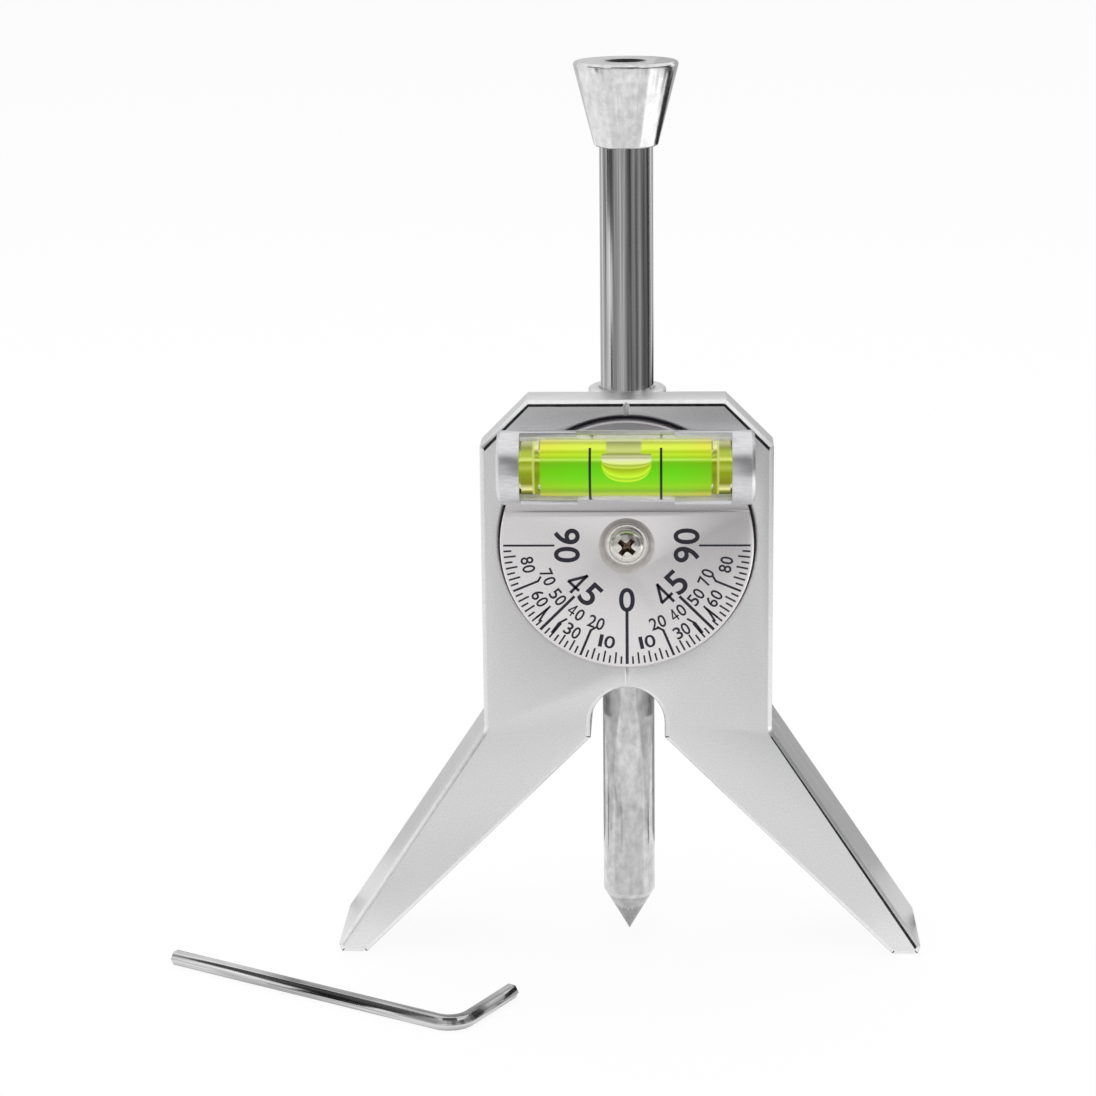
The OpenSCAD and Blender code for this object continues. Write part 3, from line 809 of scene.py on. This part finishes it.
# %% [markdown]
# ## Leader lines
# Where the numerals are too crowded to stand at their own line, a thin bent
# line leads from the numeral to it. Each is one or two straight strokes
# between points given as an angle and a radius in mm.

# %% Leader lines
LEADERS = (
    ((19.6, 15.9), (22.5, 16.9)),
    ((38.4, 17.2), (40.4, 18.8)),
    ((40.4, 18.7), (40.0, 21.0)),
    ((50.8, 17.6), (50.2, 19.0)),
    ((50.2, 18.9), (48.4, 21.0)),
    ((69.6, 16.3), (67.5, 17.1)),
)
LEADER_WIDTH = 0.38 * MM


def add_stroke(marks, start, end, width):
    """A plate along the straight line between two points of the dial's face."""
    along = (end - start).normalized()
    side = Vector((along.z, 0, -along.x)) * width / 2
    lift = Vector((0, -INK_DEPTH, 0))
    flat = [start - side, end - side, end + side, start + side]
    close_plate(marks, [marks.verts.new(v - lift) for v in flat], [marks.verts.new(v + lift) for v in flat])


marks = bmesh.new()
for side in (-1, 1):
    for ends in LEADERS:
        start, end = [on_dial(side * angle, 0, radius * MM, 0) for angle, radius in ends]
        add_stroke(marks, start, end, LEADER_WIDTH)
finish_marks(marks, "dial_leaders")

# %% [markdown]
# ## One digit
# Blender's own typeface gives the digits as curves, which are made solid and
# moved on the dial point by point. The dial's 4 is three straight strokes of
# one width with a low crossbar, so it is set as three plates of its own.

# %% Digits
# The strokes of a 4 in a box of 1 by 1, from its lower left corner.
FOUR = (((0.66, 0.0), (0.66, 1.0)), ((0.70, 0.98), (0.04, 0.30)), ((0.0, 0.30), (0.98, 0.30)))
FOUR_WEIGHT = 0.085


def add_four(marks, angle, radius, height, left, width, weight):
    thick = (FOUR_WEIGHT + weight) * height
    for (x0, y0), (x1, y1) in FOUR:
        a = Vector((left + x0 * width, (y0 - 0.5) * height))
        b = Vector((left + x1 * width, (y1 - 0.5) * height))
        along = (b - a).normalized()
        side = Vector((along.y, -along.x)) * thick / 2
        add_bar(marks, [(angle, c.x, radius - c.y) for c in (a - side, b - side, b + side, a + side)])


def digit_mesh(char, weight):
    """The mesh of a digit in Blender's own typeface, half a unit thick each way."""
    curve = bpy.data.curves.new("numeral", "FONT")
    curve.body = char
    curve.offset = weight / 2
    curve.extrude = 0.5
    shown = bpy.data.objects.new("numeral", curve)
    bpy.context.scene.collection.objects.link(shown)
    bpy.context.view_layer.update()
    outline = bpy.data.meshes.new_from_object(shown)
    bpy.data.objects.remove(shown)
    bpy.data.curves.remove(curve)
    return outline


def add_digit(marks, char, angle, radius, height, left, width, weight):
    """One digit, fitted to a width and a height, with its top to the dial's centre."""
    if char == "4":
        add_four(marks, angle, radius, height, left, width, weight)
        return
    outline = digit_mesh(char, weight)
    xs = [v.co.x for v in outline.vertices]
    ys = [v.co.y for v in outline.vertices]
    middle = (min(ys) + max(ys)) / 2
    wide, tall = width / (max(xs) - min(xs)), height / (max(ys) - min(ys))
    for v in outline.vertices:
        across = left + (v.co.x - min(xs)) * wide
        inward = (v.co.y - middle) * tall
        v.co = on_dial(angle, across, radius - inward, 2 * INK_DEPTH * v.co.z)
    marks.from_mesh(outline)
    bpy.data.meshes.remove(outline)


print("strokes in a 4:", len(FOUR))

# %% [markdown]
# ## The numerals
# The large numerals are 0, 45 and 90, and the small ones are the tens. Each
# stands at an angle and a radius of its own, because the printed ones dodge
# the long lines. A 1 is narrower than the other digits, which is why the
# digits of a numeral share its width unevenly.

# %% Numerals
# Value: angle and radius in mm.
SMALL = {
    10: (11.5, 18.1), 20: (21.1, 15.2), 30: (31.8, 18.5), 40: (36.2, 15.3),
    50: (52.4, 15.5), 60: (57.9, 18.3), 70: (67.5, 15.2), 80: (78.7, 17.9),
}
ONE_WIDTH = 0.36
GAP = 0.16
LARGE_WEIGHT, SMALL_WEIGHT = 0.03, 0.025


def add_numeral(marks, text, angle, radius, height, width, weight):
    shares = [ONE_WIDTH if char == "1" else 1.0 for char in text]
    gap = GAP if len(text) > 1 else 0.0
    unit = width / (sum(shares) + gap * (len(text) - 1))
    left = -width / 2
    for char, share in zip(text, shares):
        add_digit(marks, char, angle, radius, height, left, share * unit, weight)
        left += (share + gap) * unit


marks = bmesh.new()
add_numeral(marks, "0", 0, 10.0 * MM, 4.4 * MM, 2.8 * MM, LARGE_WEIGHT)
for side in (-1, 1):
    add_numeral(marks, "90", side * 90, 10.6 * MM, 4.6 * MM, 6.2 * MM, LARGE_WEIGHT)
    add_numeral(marks, "45", side * 44.2, 11.0 * MM, 4.5 * MM, 6.0 * MM, LARGE_WEIGHT)
    for value, (angle, radius) in SMALL.items():
        add_numeral(marks, str(value), side * angle, radius * MM, 2.3 * MM, 2.9 * MM, SMALL_WEIGHT)
bmesh.ops.remove_doubles(marks, verts=marks.verts, dist=0.001 * MM)
finish_marks(marks, "dial_numerals")

# %% [markdown]
# ## Softened edges
# CAD edges are perfectly sharp, and real ones never are: they catch the light.
# A bevel modifier would do for most, but the head needs two kinds of edges
# with a finish each, so copies of the meshes are bevelled directly. Flat faces
# keep their own normal, so that the rounding doesn't bend their shading.

# %% Softened edges
WELD = 0.002 * MM
FLAT_BELOW, CURVED_FROM, SHARP_FROM = math.radians(1), math.radians(0.5), math.radians(28)
PLAIN, ROUNDED, DARK = 0, 1, 2


def mesh_object(shape, name, looks, body, keep_flat=False):
    """Makes an object from a shape in world coordinates, and fixes it to a body of the tool."""
    mesh = bpy.data.meshes.new(name)
    shape.to_mesh(mesh)
    shape.free()
    for look in looks:
        mesh.materials.append(look)
    if not keep_flat:
        mesh.shade_smooth()
    mesh.set_sharp_from_angle(angle=math.radians(35))
    piece = bpy.data.objects.new(name, mesh)
    bpy.context.scene.collection.objects.link(piece)
    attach(piece, body)
    print(name, "faces:", len(mesh.polygons))
    return piece


def cad_shape(name):
    """The mesh of a CAD piece with its flat faces joined and its curved ones marked smooth."""
    shape = bmesh.new()
    shape.from_mesh(nodes[name].data)
    shape.transform(nodes[name].matrix_world)
    bmesh.ops.remove_doubles(shape, verts=shape.verts, dist=WELD)
    bmesh.ops.dissolve_limit(shape, angle_limit=FLAT_BELOW, verts=shape.verts, edges=shape.edges)
    for face in shape.faces:
        face.material_index = PLAIN
        turns = [e.calc_face_angle() for e in face.edges if e.is_manifold]
        face.smooth = any(CURVED_FROM < turn < SHARP_FROM for turn in turns)
    return shape


def sharp_edges(shape, test=None):
    edges = [e for e in shape.edges if e.is_manifold and e.calc_face_angle() > SHARP_FROM]
    if test is None:
        return edges
    return [e for e in edges if test((e.verts[0].co + e.verts[1].co) / 2)]


def round_edges(shape, edges, width, look):
    bmesh.ops.bevel(
        shape, geom=edges, offset=width, offset_type="OFFSET", segments=2, profile=0.5,
        affect="EDGES", clamp_overlap=False, material=look,
    )


print("edges over", round(math.degrees(SHARP_FROM)), "degrees are rounded")

# %% [markdown]
# ## The head
# The head's faces are blasted, and its cut bevels are brighter. The edge of its face shows as a black line
# at the top and down the right leg, made by shade and a dark reflection in the rounded edge. These edges are
# picked by their place and rounded first, a little wider, and get that shade and reflection painted on as a
# near-black finish. The rounded edges along the inner side of the legs and the arch get the same painted
# shade. All the others follow, and the bevels get the bright one.

# %% Head
HEAD_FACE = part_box("head_body")[0].y
# Heights and half widths of the head, in mm: its top, its dial's seat, its legs and its vee.
TOP_FROM = 88.5
CORNER_REACH, SEAT_REACH = 20.0, 23.5
LEG_FROM_X, LEG_TO_Z = 26.2, 61.5
VEE_TIP = 54.4
LINE_HALF = 1.5


def under_the_vee(spot):
    """True for the inner side of the legs and the arch."""
    return spot.z < VEE_TIP * MM - abs(spot.x)


def dark_edge(spot):
    """True for the edges of the face that get a black line of painted shade."""
    on_face = spot.y < HEAD_FACE + 0.02 * MM and abs(spot.x) > LINE_HALF * MM
    above = spot.z - DIAL_Z
    past_seat = math.hypot(spot.x, above) > SEAT_REACH * MM
    top = spot.z > TOP_FROM * MM and abs(above) + abs(spot.x) > CORNER_REACH * MM and past_seat
    right_leg = spot.x > LEG_FROM_X * MM and spot.z < LEG_TO_Z * MM and not under_the_vee(spot)
    return on_face and (top or right_leg)


shape = cad_shape("head_body")
round_edges(shape, sharp_edges(shape, dark_edge), 0.28 * MM, DARK)
round_edges(shape, sharp_edges(shape), 0.11 * MM, ROUNDED)
for face in shape.faces:
    centre = face.calc_center_median()
    depth = centre.y - HEAD_FACE
    if face.material_index == ROUNDED:
        bevel_end = 0.3 * MM < depth < 1.2 * MM
        at_line = abs(centre.x) < 0.6 * MM
        # Rounded edges under the vee, away from the centre line, get the painted shade too.
        face.material_index = DARK if bevel_end and under_the_vee(centre) and not at_line else PLAIN
    elif face.material_index == PLAIN and 0.6 < abs(face.normal.y) < 0.8 and depth < 0.9 * MM:
        upright = abs(face.normal.z) < 0.1 and centre.z > 0.06
        face.material_index = PLAIN if upright else ROUNDED
HEAD_LOOKS = [head_look, bevel_look, edge_shade_look]
head = mesh_object(shape, "head_shape", HEAD_LOOKS, "head", keep_flat=True)
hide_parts("head_body")

# %% [markdown]
# ## The other large pieces
# The tube, the dial, the cap, the rod and the key get rounded edges too, each
# by a width that suits how it is made: a turned cap has larger ones than a
# ground rod. They need no second finish, so one loop makes them all.

# %% Other softened pieces
for name, new_name, width, look, body, slot in (
    ("vial_tube", "tube_shape", 0.07, tube_look, "dial", "tube_aluminium"),
    ("dial_disc", "dial_shape", 0.06, dial_look, "dial", "dial_aluminium"),
    ("striker_cap", "cap_shape", 0.12, cap_look, "punch", "cap_steel"),
    ("punch_rod", "rod_shape", 0.04, punch_look, "punch", "punch_steel"),
    ("hex_key", "key_shape", 0.09, key_look, "key", "key_steel"),
):
    shape = cad_shape(name)
    round_edges(shape, sharp_edges(shape), width * MM, PLAIN)
    piece = mesh_object(shape, new_name, [look], body, keep_flat=True)
    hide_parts(name)

# %% [markdown]
# ## The dark line round the dial
# The seat that the dial turns in is a little larger than the dial, and deep shade makes its floor show as a
# thin black line. Soft light in a render leaves it grey, so a thin black ring of painted shadow lies in the
# gap, made with the dial's ink material. It is turned from a small rectangle, by a helper that the next
# pieces use as well.

# %% Dark line in the seat
TO_Y = Matrix.Rotation(math.pi / 2, 4, "Z")


def turned(profile, turns, loop=False):
    """A shape turned about the X axis from (x, radius) points; radius 0 closes an end."""
    shape = bmesh.new()
    rings = []
    for x, r in profile:
        angles = [2 * math.pi * step / turns for step in range(1 if r == 0 else turns)]
        rings.append([shape.verts.new((x, r * math.cos(a), r * math.sin(a))) for a in angles])
    pairs = list(zip(rings, rings[1:]))
    if loop:
        pairs.append((rings[-1], rings[0]))
    for one, two in pairs:
        for i in range(turns):
            j = (i + 1) % turns
            if len(one) == 1:
                shape.faces.new((one[0], two[i], two[j]))
            elif len(two) == 1:
                shape.faces.new((one[i], two[0], one[j]))
            else:
                shape.faces.new((one[i], two[i], two[j], one[j]))
    bmesh.ops.recalc_face_normals(shape, faces=shape.faces)
    return shape


SEAT_FLOOR = HEAD_FACE + 1.0 * MM
DIAL_CENTRE = Vector((0, 0, DIAL_Z))
SEAT_LINE_R = (22.46 * MM, 22.86 * MM)
low, high = SEAT_FLOOR - 0.06 * MM, SEAT_FLOOR + 0.02 * MM
inner, outer = SEAT_LINE_R
shape = turned([(low, inner), (low, outer), (high, outer), (high, inner)], 180, loop=True)
shape.transform(Matrix.Translation(DIAL_CENTRE) @ TO_Y)
# A ring of painted shadow on the seat's floor, in the ink material.
mesh_object(shape, "painted_seat_shadow", [ink_and_shade_look], "head")

# %% [markdown]
# ## The fluid and its bubble
# Fluid wets the barrel, so no air lies between them. Two meshes that only
# touch would leave such a gap, so the fluid's mesh is a hair larger than the
# bore, which makes the light bend as it does there. The bubble is a hollow in
# it: an egg shape with its faces turned inward.

# %% Fluid
BUBBLE_HALF = 4.2 * MM
BUBBLE_DEPTH, BUBBLE_HEIGHT = 2.4 * MM, 2.3 * MM
BUBBLE_UP = 0.8 * MM
fluid_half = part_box("vial_fluid")[1].x
shape = turned([(-fluid_half, 0), (-fluid_half, FLUID_R), (fluid_half, FLUID_R), (fluid_half, 0)], 96)
bends = [math.pi * k / 24 for k in range(1, 24)]
egg = [(-BUBBLE_HALF * math.cos(a), math.sin(a) ** 0.8) for a in bends]
hollow = turned([(-BUBBLE_HALF, 0), *egg, (BUBBLE_HALF, 0)], 64)
bmesh.ops.reverse_faces(hollow, faces=hollow.faces)
size = Matrix.Diagonal((1, BUBBLE_DEPTH, BUBBLE_HEIGHT, 1))
hollow.transform(Matrix.Translation((0, 0, BUBBLE_UP)) @ size)
hollow_mesh = bpy.data.meshes.new("hollow")
hollow.to_mesh(hollow_mesh)
hollow.free()
shape.from_mesh(hollow_mesh)
bpy.data.meshes.remove(hollow_mesh)
shape.transform(Matrix.Translation(AXIS))
fluid = mesh_object(shape, "fluid_core", [fluid_look], "dial")
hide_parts("vial_fluid")

# %% [markdown]
# ## The stoppers' meshes
# The stoppers are turned the same way, from a profile with a small chamfer at
# each rim, and a hair larger than the bore like the fluid.

# %% Stoppers
CHAMFER = 0.25 * MM
for name, new_name in (("left_stopper", "left_end"), ("right_stopper", "right_end")):
    low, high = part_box(name)
    inside = STOPPER_R - CHAMFER
    shape = turned([
        (low.x, 0), (low.x, inside), (low.x + CHAMFER, STOPPER_R),
        (high.x - CHAMFER, STOPPER_R), (high.x, inside), (high.x, 0),
    ], 96)
    shape.transform(Matrix.Translation(Vector((0, AXIS.y, AXIS.z))))
    stopper = mesh_object(shape, new_name, [stopper_look], "dial")
    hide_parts(name)

# %% [markdown]
# ## The index lines
# The bubble is read between two black lines. They run round the front of the
# barrel and stop above and below, while the CAD has full rings. Each line is a
# small rectangle swept along an arc.

# %% Index lines
ARC_FROM, ARC_TO = -85, 50
ARC_STEPS = 48
HALF_WIDTH, DEPTH = 0.22 * MM, 0.1 * MM
ring_low, ring_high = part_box("right_index_ring")
RING_R = (ring_high.z - ring_low.z) / 2
SECTION = ((-HALF_WIDTH, -DEPTH), (HALF_WIDTH, -DEPTH), (HALF_WIDTH, 0), (-HALF_WIDTH, 0))


def add_section(shape, middle, angle):
    """Four corners round the arc's end at an angle above the horizontal."""
    out = Vector((0, -math.cos(angle), math.sin(angle)))
    return [shape.verts.new(AXIS + Vector((middle + dx, 0, 0)) + out * (RING_R + dr)) for dx, dr in SECTION]


for side, name in ((-1, "left_index_ring"), (1, "right_index_ring")):
    middle = side * (ring_low.x + ring_high.x) / 2
    shape = bmesh.new()
    bends = [math.radians(ARC_FROM + (ARC_TO - ARC_FROM) * k / ARC_STEPS) for k in range(ARC_STEPS + 1)]
    sections = [add_section(shape, middle, bend) for bend in bends]
    shape.faces.new(sections[0])
    shape.faces.new(sections[-1][::-1])
    for one, two in zip(sections, sections[1:]):
        for i in range(4):
            j = (i + 1) % 4
            shape.faces.new((one[i], one[j], two[j], two[i]))
    bmesh.ops.recalc_face_normals(shape, faces=shape.faces)
    line = mesh_object(shape, name + "_line", [index_look], "dial")
    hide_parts(name)

# %% [markdown]
# ## The screw in the middle of the dial
# The screw has a low domed head. The dome is an arc in the profile, which the
# same helper turns about the axis, together with the shank behind it.

# %% Screw
HEAD_R = (screw_high.x - screw_low.x) / 2
FRONT = screw_low.y
SEAT = FRONT + 2 * MM
DOME = 1.1 * MM
SHANK_R = 1.5 * MM
DOME_STEPS = 9
profile = [(screw_high.y, 0), (screw_high.y, SHANK_R), (SEAT, SHANK_R), (SEAT, HEAD_R)]
profile.append((FRONT + DOME, HEAD_R))
for k in range(1, DOME_STEPS + 1):
    a = math.radians(k * 9)
    profile.append((FRONT + DOME - DOME * math.sin(a), HEAD_R * (0.35 + 0.65 * math.cos(a))))
profile.append((FRONT, 0))
shape = turned(profile, 96)
shape.transform(Matrix.Translation(DIAL_CENTRE) @ TO_Y)
screw = mesh_object(shape, "cross_screw", [screw_look, shaded_recess_look], "head")
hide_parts("pivot_screw")

# %% [markdown]
# ## The cross recess
# The recess is punched with a tapered cross. Three tapered blocks, two for the
# cross and one for its middle, are cut out of the head with a boolean, which
# keeps the screw one closed solid. The cell measures that at the end: in a
# closed mesh every edge has exactly two faces.

# %% Cross recess
RECESS_DEPTH = 1.3 * MM
# Turn in degrees, then half length and half width in mm, at the mouth and at the floor.
WEDGES = (
    (40, (2.0, 0.52), (0.9, 0.25)),
    (130, (2.0, 0.52), (0.9, 0.25)),
    (85, (0.95, 0.95), (0.5, 0.5)),
)


def wedge(mouth, bottom, turn):
    """A tapered block that reaches from before the screw to the floor of the recess."""
    shape = bmesh.new()
    rings = []
    for y, (length, width) in ((-0.3 * MM, mouth), (RECESS_DEPTH, bottom)):
        ring = []
        for x, z in ((-length, -width), (length, -width), (length, width), (-length, width)):
            spot = Matrix.Rotation(turn, 3, "Y") @ Vector((x * MM, 0, z * MM))
            ring.append(shape.verts.new(Vector((0, FRONT + y, 0)) + DIAL_CENTRE + spot))
        rings.append(ring)
    shape.faces.new(rings[0])
    shape.faces.new(rings[1][::-1])
    for i in range(4):
        j = (i + 1) % 4
        shape.faces.new((rings[0][i], rings[1][i], rings[1][j], rings[0][j]))
    bmesh.ops.recalc_face_normals(shape, faces=shape.faces)
    return shape


def cut_out(piece, shape):
    """Cuts a shape out of a piece."""
    mesh = bpy.data.meshes.new("cutter")
    shape.to_mesh(mesh)
    shape.free()
    cutter = bpy.data.objects.new("cutter", mesh)
    bpy.context.scene.collection.objects.link(cutter)
    cut = piece.modifiers.new("cut", "BOOLEAN")
    cut.operation = "DIFFERENCE"
    cut.object = cutter
    cut.solver = "EXACT"
    bpy.context.view_layer.update()
    with_cut = bpy.data.meshes.new_from_object(piece.evaluated_get(bpy.context.evaluated_depsgraph_get()))
    piece.modifiers.remove(cut)
    piece.data = with_cut
    bpy.data.objects.remove(cutter)


for turn, mouth, bottom in WEDGES:
    cut_out(screw, wedge(mouth, bottom, math.radians(turn)))
# The walls and floor of the recess take the dark finish of painted shade.
for face in screw.data.polygons:
    spot = face.center - DIAL_CENTRE
    depth = spot.y - FRONT
    inside = math.hypot(spot.x, spot.z) < 2.1 * MM and 0.12 * MM < depth < 1.5 * MM
    sloped = abs(face.normal.y) < 0.95
    face.material_index = 1 if inside and (sloped or depth > 1.2 * MM) else 0
screw.data.set_sharp_from_angle(angle=math.radians(35))
measured = bmesh.new()
measured.from_mesh(screw.data)
open_edges = sum(len(edge.link_faces) != 2 for edge in measured.edges)
measured.free()
print("screw faces:", len(screw.data.polygons), "open edges:", open_edges)

# %% [markdown]
# ## The white world
# The tool stands in a white studio. More light would make the background white
# too, but it would bleach the tool. So the world has two strengths: rays that
# look at the background, from the camera, off metal or through glass, see it
# at full white, and the light that falls on the tool stays at a plain level.

# %% World
PLAIN_LIGHT = 0.7
WHITE = (1, 1, 1, 1)


def background_rays(tree):
    """1 for rays that look at the background: camera, mirror and glass rays."""
    rays = tree.nodes.new("ShaderNodeLightPath").outputs
    direct = math_node(tree, "MAXIMUM", rays["Is Camera Ray"], rays["Is Glossy Ray"])
    return math_node(tree, "MAXIMUM", direct, rays["Is Transmission Ray"])


world = bpy.data.worlds.new("white studio")
bpy.context.scene.world = world
world.use_nodes = True
tree = world.node_tree
light = tree.nodes["Background"]
set_sockets(light, {"Color": WHITE, "Strength": PLAIN_LIGHT})
white = add_node(tree, "ShaderNodeBackground", {"Color": WHITE, "Strength": 1.0})
choose = tree.nodes.new("ShaderNodeMixShader")
tree.links.new(background_rays(tree), choose.inputs["Fac"])
tree.links.new(light.outputs["Background"], choose.inputs[1])
tree.links.new(white.outputs["Background"], choose.inputs[2])
tree.links.new(choose.outputs["Shader"], tree.nodes["World Output"].inputs["Surface"])
print("the world lights the tool at", PLAIN_LIGHT)

# %% [markdown]
# ## The white floor
# The floor works the same way, but not fully: a share of it stays an ordinary
# matt surface, so the tool still casts a soft shadow on it.

# %% Floor
GLOW_SHARE = 0.9
floor_look, tree, shader = new_material("white floor")
set_sockets(shader, {"Base Color": (0.95, 0.95, 0.95, 1), "Roughness": 1.0, "Specular IOR Level": 0.0})
glow = add_node(tree, "ShaderNodeEmission", {"Color": WHITE, "Strength": 1.0})
blend = tree.nodes.new("ShaderNodeMixShader")
tree.links.new(math_node(tree, "MULTIPLY", background_rays(tree), GLOW_SHARE), blend.inputs["Fac"])
tree.links.new(shader.outputs["BSDF"], blend.inputs[1])
tree.links.new(glow.outputs["Emission"], blend.inputs[2])
tree.links.new(blend.outputs["Shader"], tree.nodes["Material Output"].inputs["Surface"])
bpy.ops.mesh.primitive_plane_add(size=12, location=(0, 0, 0))
floor = bpy.context.object
floor.name = "studio_floor"
floor.data.materials.append(floor_look)
print("floor is", floor.dimensions.x, "m wide")

# %% [markdown]
# ## Cards for reflections
# Polished metal has no look of its own: it shows what stands round it. In an
# all white room it would vanish, so photographers set grey and black cards
# round the tool. Here the cards are seen only in reflections, so they don't
# shade the tool or come into the picture. An upright card stands on a circle
# round the tool, at a bearing counted from the front to the right, and a
# floor card is a sector between two distances.

# %% Card helpers
def card_look(name, tone):
    look, tree, shader = new_material(name)
    tree.nodes.remove(shader)
    flat = add_node(tree, "ShaderNodeEmission", {"Color": (tone, tone, tone, 1), "Strength": 1.0})
    tree.links.new(flat.outputs["Emission"], tree.nodes["Material Output"].inputs["Surface"])
    return look


def only_in_mirrors(card, name, tone):
    card.name = name
    card.data.materials.append(card_look(name, tone))
    for rays in ("camera", "diffuse", "transmission", "volume_scatter", "shadow"):
        setattr(card, "visible_" + rays, False)


def around(bearing, distance, height):
    a = math.radians(bearing)
    return (distance * math.sin(a), -distance * math.cos(a), height)


def round_card(name, bearing, width, bottom, top, tone, distance):
    bpy.ops.mesh.primitive_plane_add(size=1)
    card = bpy.context.object
    card.scale = (width, top - bottom, 1)
    card.rotation_euler = (math.pi / 2, 0, math.radians(bearing))
    card.location = around(bearing, distance, (bottom + top) / 2)
    only_in_mirrors(card, name, tone)


def floor_card(name, bearing, near, far, spread, tone):
    half = spread / 2
    ends = ((-half, near), (-half, far), (half, far), (half, near))
    corners = [around(bearing + angle, distance, 0.5 * MM) for angle, distance in ends]
    mesh = bpy.data.meshes.new(name)
    mesh.from_pydata(corners, [], [(0, 1, 2, 3)])
    card = bpy.data.objects.new(name, mesh)
    bpy.context.scene.collection.objects.link(card)
    only_in_mirrors(card, name, tone)


print("a card straight in front, 0.6 m away and 0.2 m up, stands at", around(0, 0.6, 0.2))

# %% [markdown]
# ## Cards for the rod and the key
# Narrow cards stand in an arc close by. They show in upright metal such as the
# rod and the punch, as stripes that are lighter on the left and darker on the
# right. Low black ones make the dark edges of the punch. A dark card high up
# on the left shows in the key's long arm.

# %% Cards for the rod and the key
STRIPE = 0.106
# Bearing in degrees and tone.
FRONT_STRIPES = ((-52, 0.44), (-36, 0.56), (-20, 0.66), (-4, 0.50), (12, 0.23), (28, 0.37), (44, 0.16))
RIGHT_STRIPES = ((60, 0.36), (76, 0.30), (92, 0.18), (108, 0.06))
BLACK_STRIPES = (124, 140, 156)
for number, (bearing, tone) in enumerate(FRONT_STRIPES):
    round_card("low_grey_%d" % number, bearing, STRIPE, 0.0, 0.26, tone, 0.37)
for number, (bearing, tone) in enumerate(RIGHT_STRIPES):
    round_card("low_right_%d" % number, bearing, STRIPE, 0.03, 0.26, tone, 0.37)
for number, bearing in enumerate(BLACK_STRIPES):
    round_card("low_black_%d" % number, bearing, STRIPE, 0.012, 0.07, 0.02, 0.36)
round_card("low_black_left", -68, 0.06, 0.0, 0.13, 0.02, 0.36)
round_card("high_left", -72, 0.42, 0.20, 0.44, 0.08, 0.6)

# %% [markdown]
# ## Cards for the head, the cap and the punch
# The dark side of the room stands high behind the camera. The sides of the legs
# and the head's top mirror what lies behind the tool, so greys stand and lie
# there. The cap leans outward and mirrors the floor, which has a bright sector
# for it. Two light greys lie in front of the feet, and two small dark sectors
# give the punch thin dark stripes.

# %% Cards for the head, the cap and the punch
round_card("high_front", 0, 0.8, 0.28, 0.80, 0.12, 0.62)
round_card("level_back_left", -158, 0.5, 0.0, 0.40, 0.66, 0.6)
round_card("level_back_right", 158, 0.5, 0.0, 0.40, 0.50, 0.6)
floor_card("floor_back_left", -156, 0.05, 0.40, 48, 0.44)
floor_card("floor_back_right", 154, 0.05, 0.40, 52, 0.40)
floor_card("floor_white", 90, 0.18, 0.42, 64, 1.45)
floor_card("floor_front", 0, 0.02, 0.16, 130, 0.82)
floor_card("floor_middle", 0, 0.18, 0.37, 110, 0.84)
floor_card("floor_dark_right", 95, 0.042, 0.07, 7, 0.02)
floor_card("floor_dark_left", -106, 0.04, 0.09, 6, 0.15)

# %% [markdown]
# ## The lamp
# One large lamp above softens the shadow on the floor. Several small ones
# would give hard spots and more than one shadow. In mirrors the lamp would add
# to the white world and clip to white, so reflections don't see it.

# %% Lamp
LAMP_PLACE = Vector((-0.1, 0.0, 1.0))
LAMP_AIM = Vector((0, 0, 0.08))
lamp_data = bpy.data.lights.new("soft_top", "AREA")
lamp_data.size = 1.5
lamp_data.energy = 6.5
lamp = bpy.data.objects.new("soft_top", lamp_data)
bpy.context.scene.collection.objects.link(lamp)
lamp.location = LAMP_PLACE
lamp.rotation_euler = (LAMP_AIM - LAMP_PLACE).to_track_quat("-Z", "Y").to_euler()
lamp.visible_glossy = False
print("lamp power:", lamp_data.energy, "W")
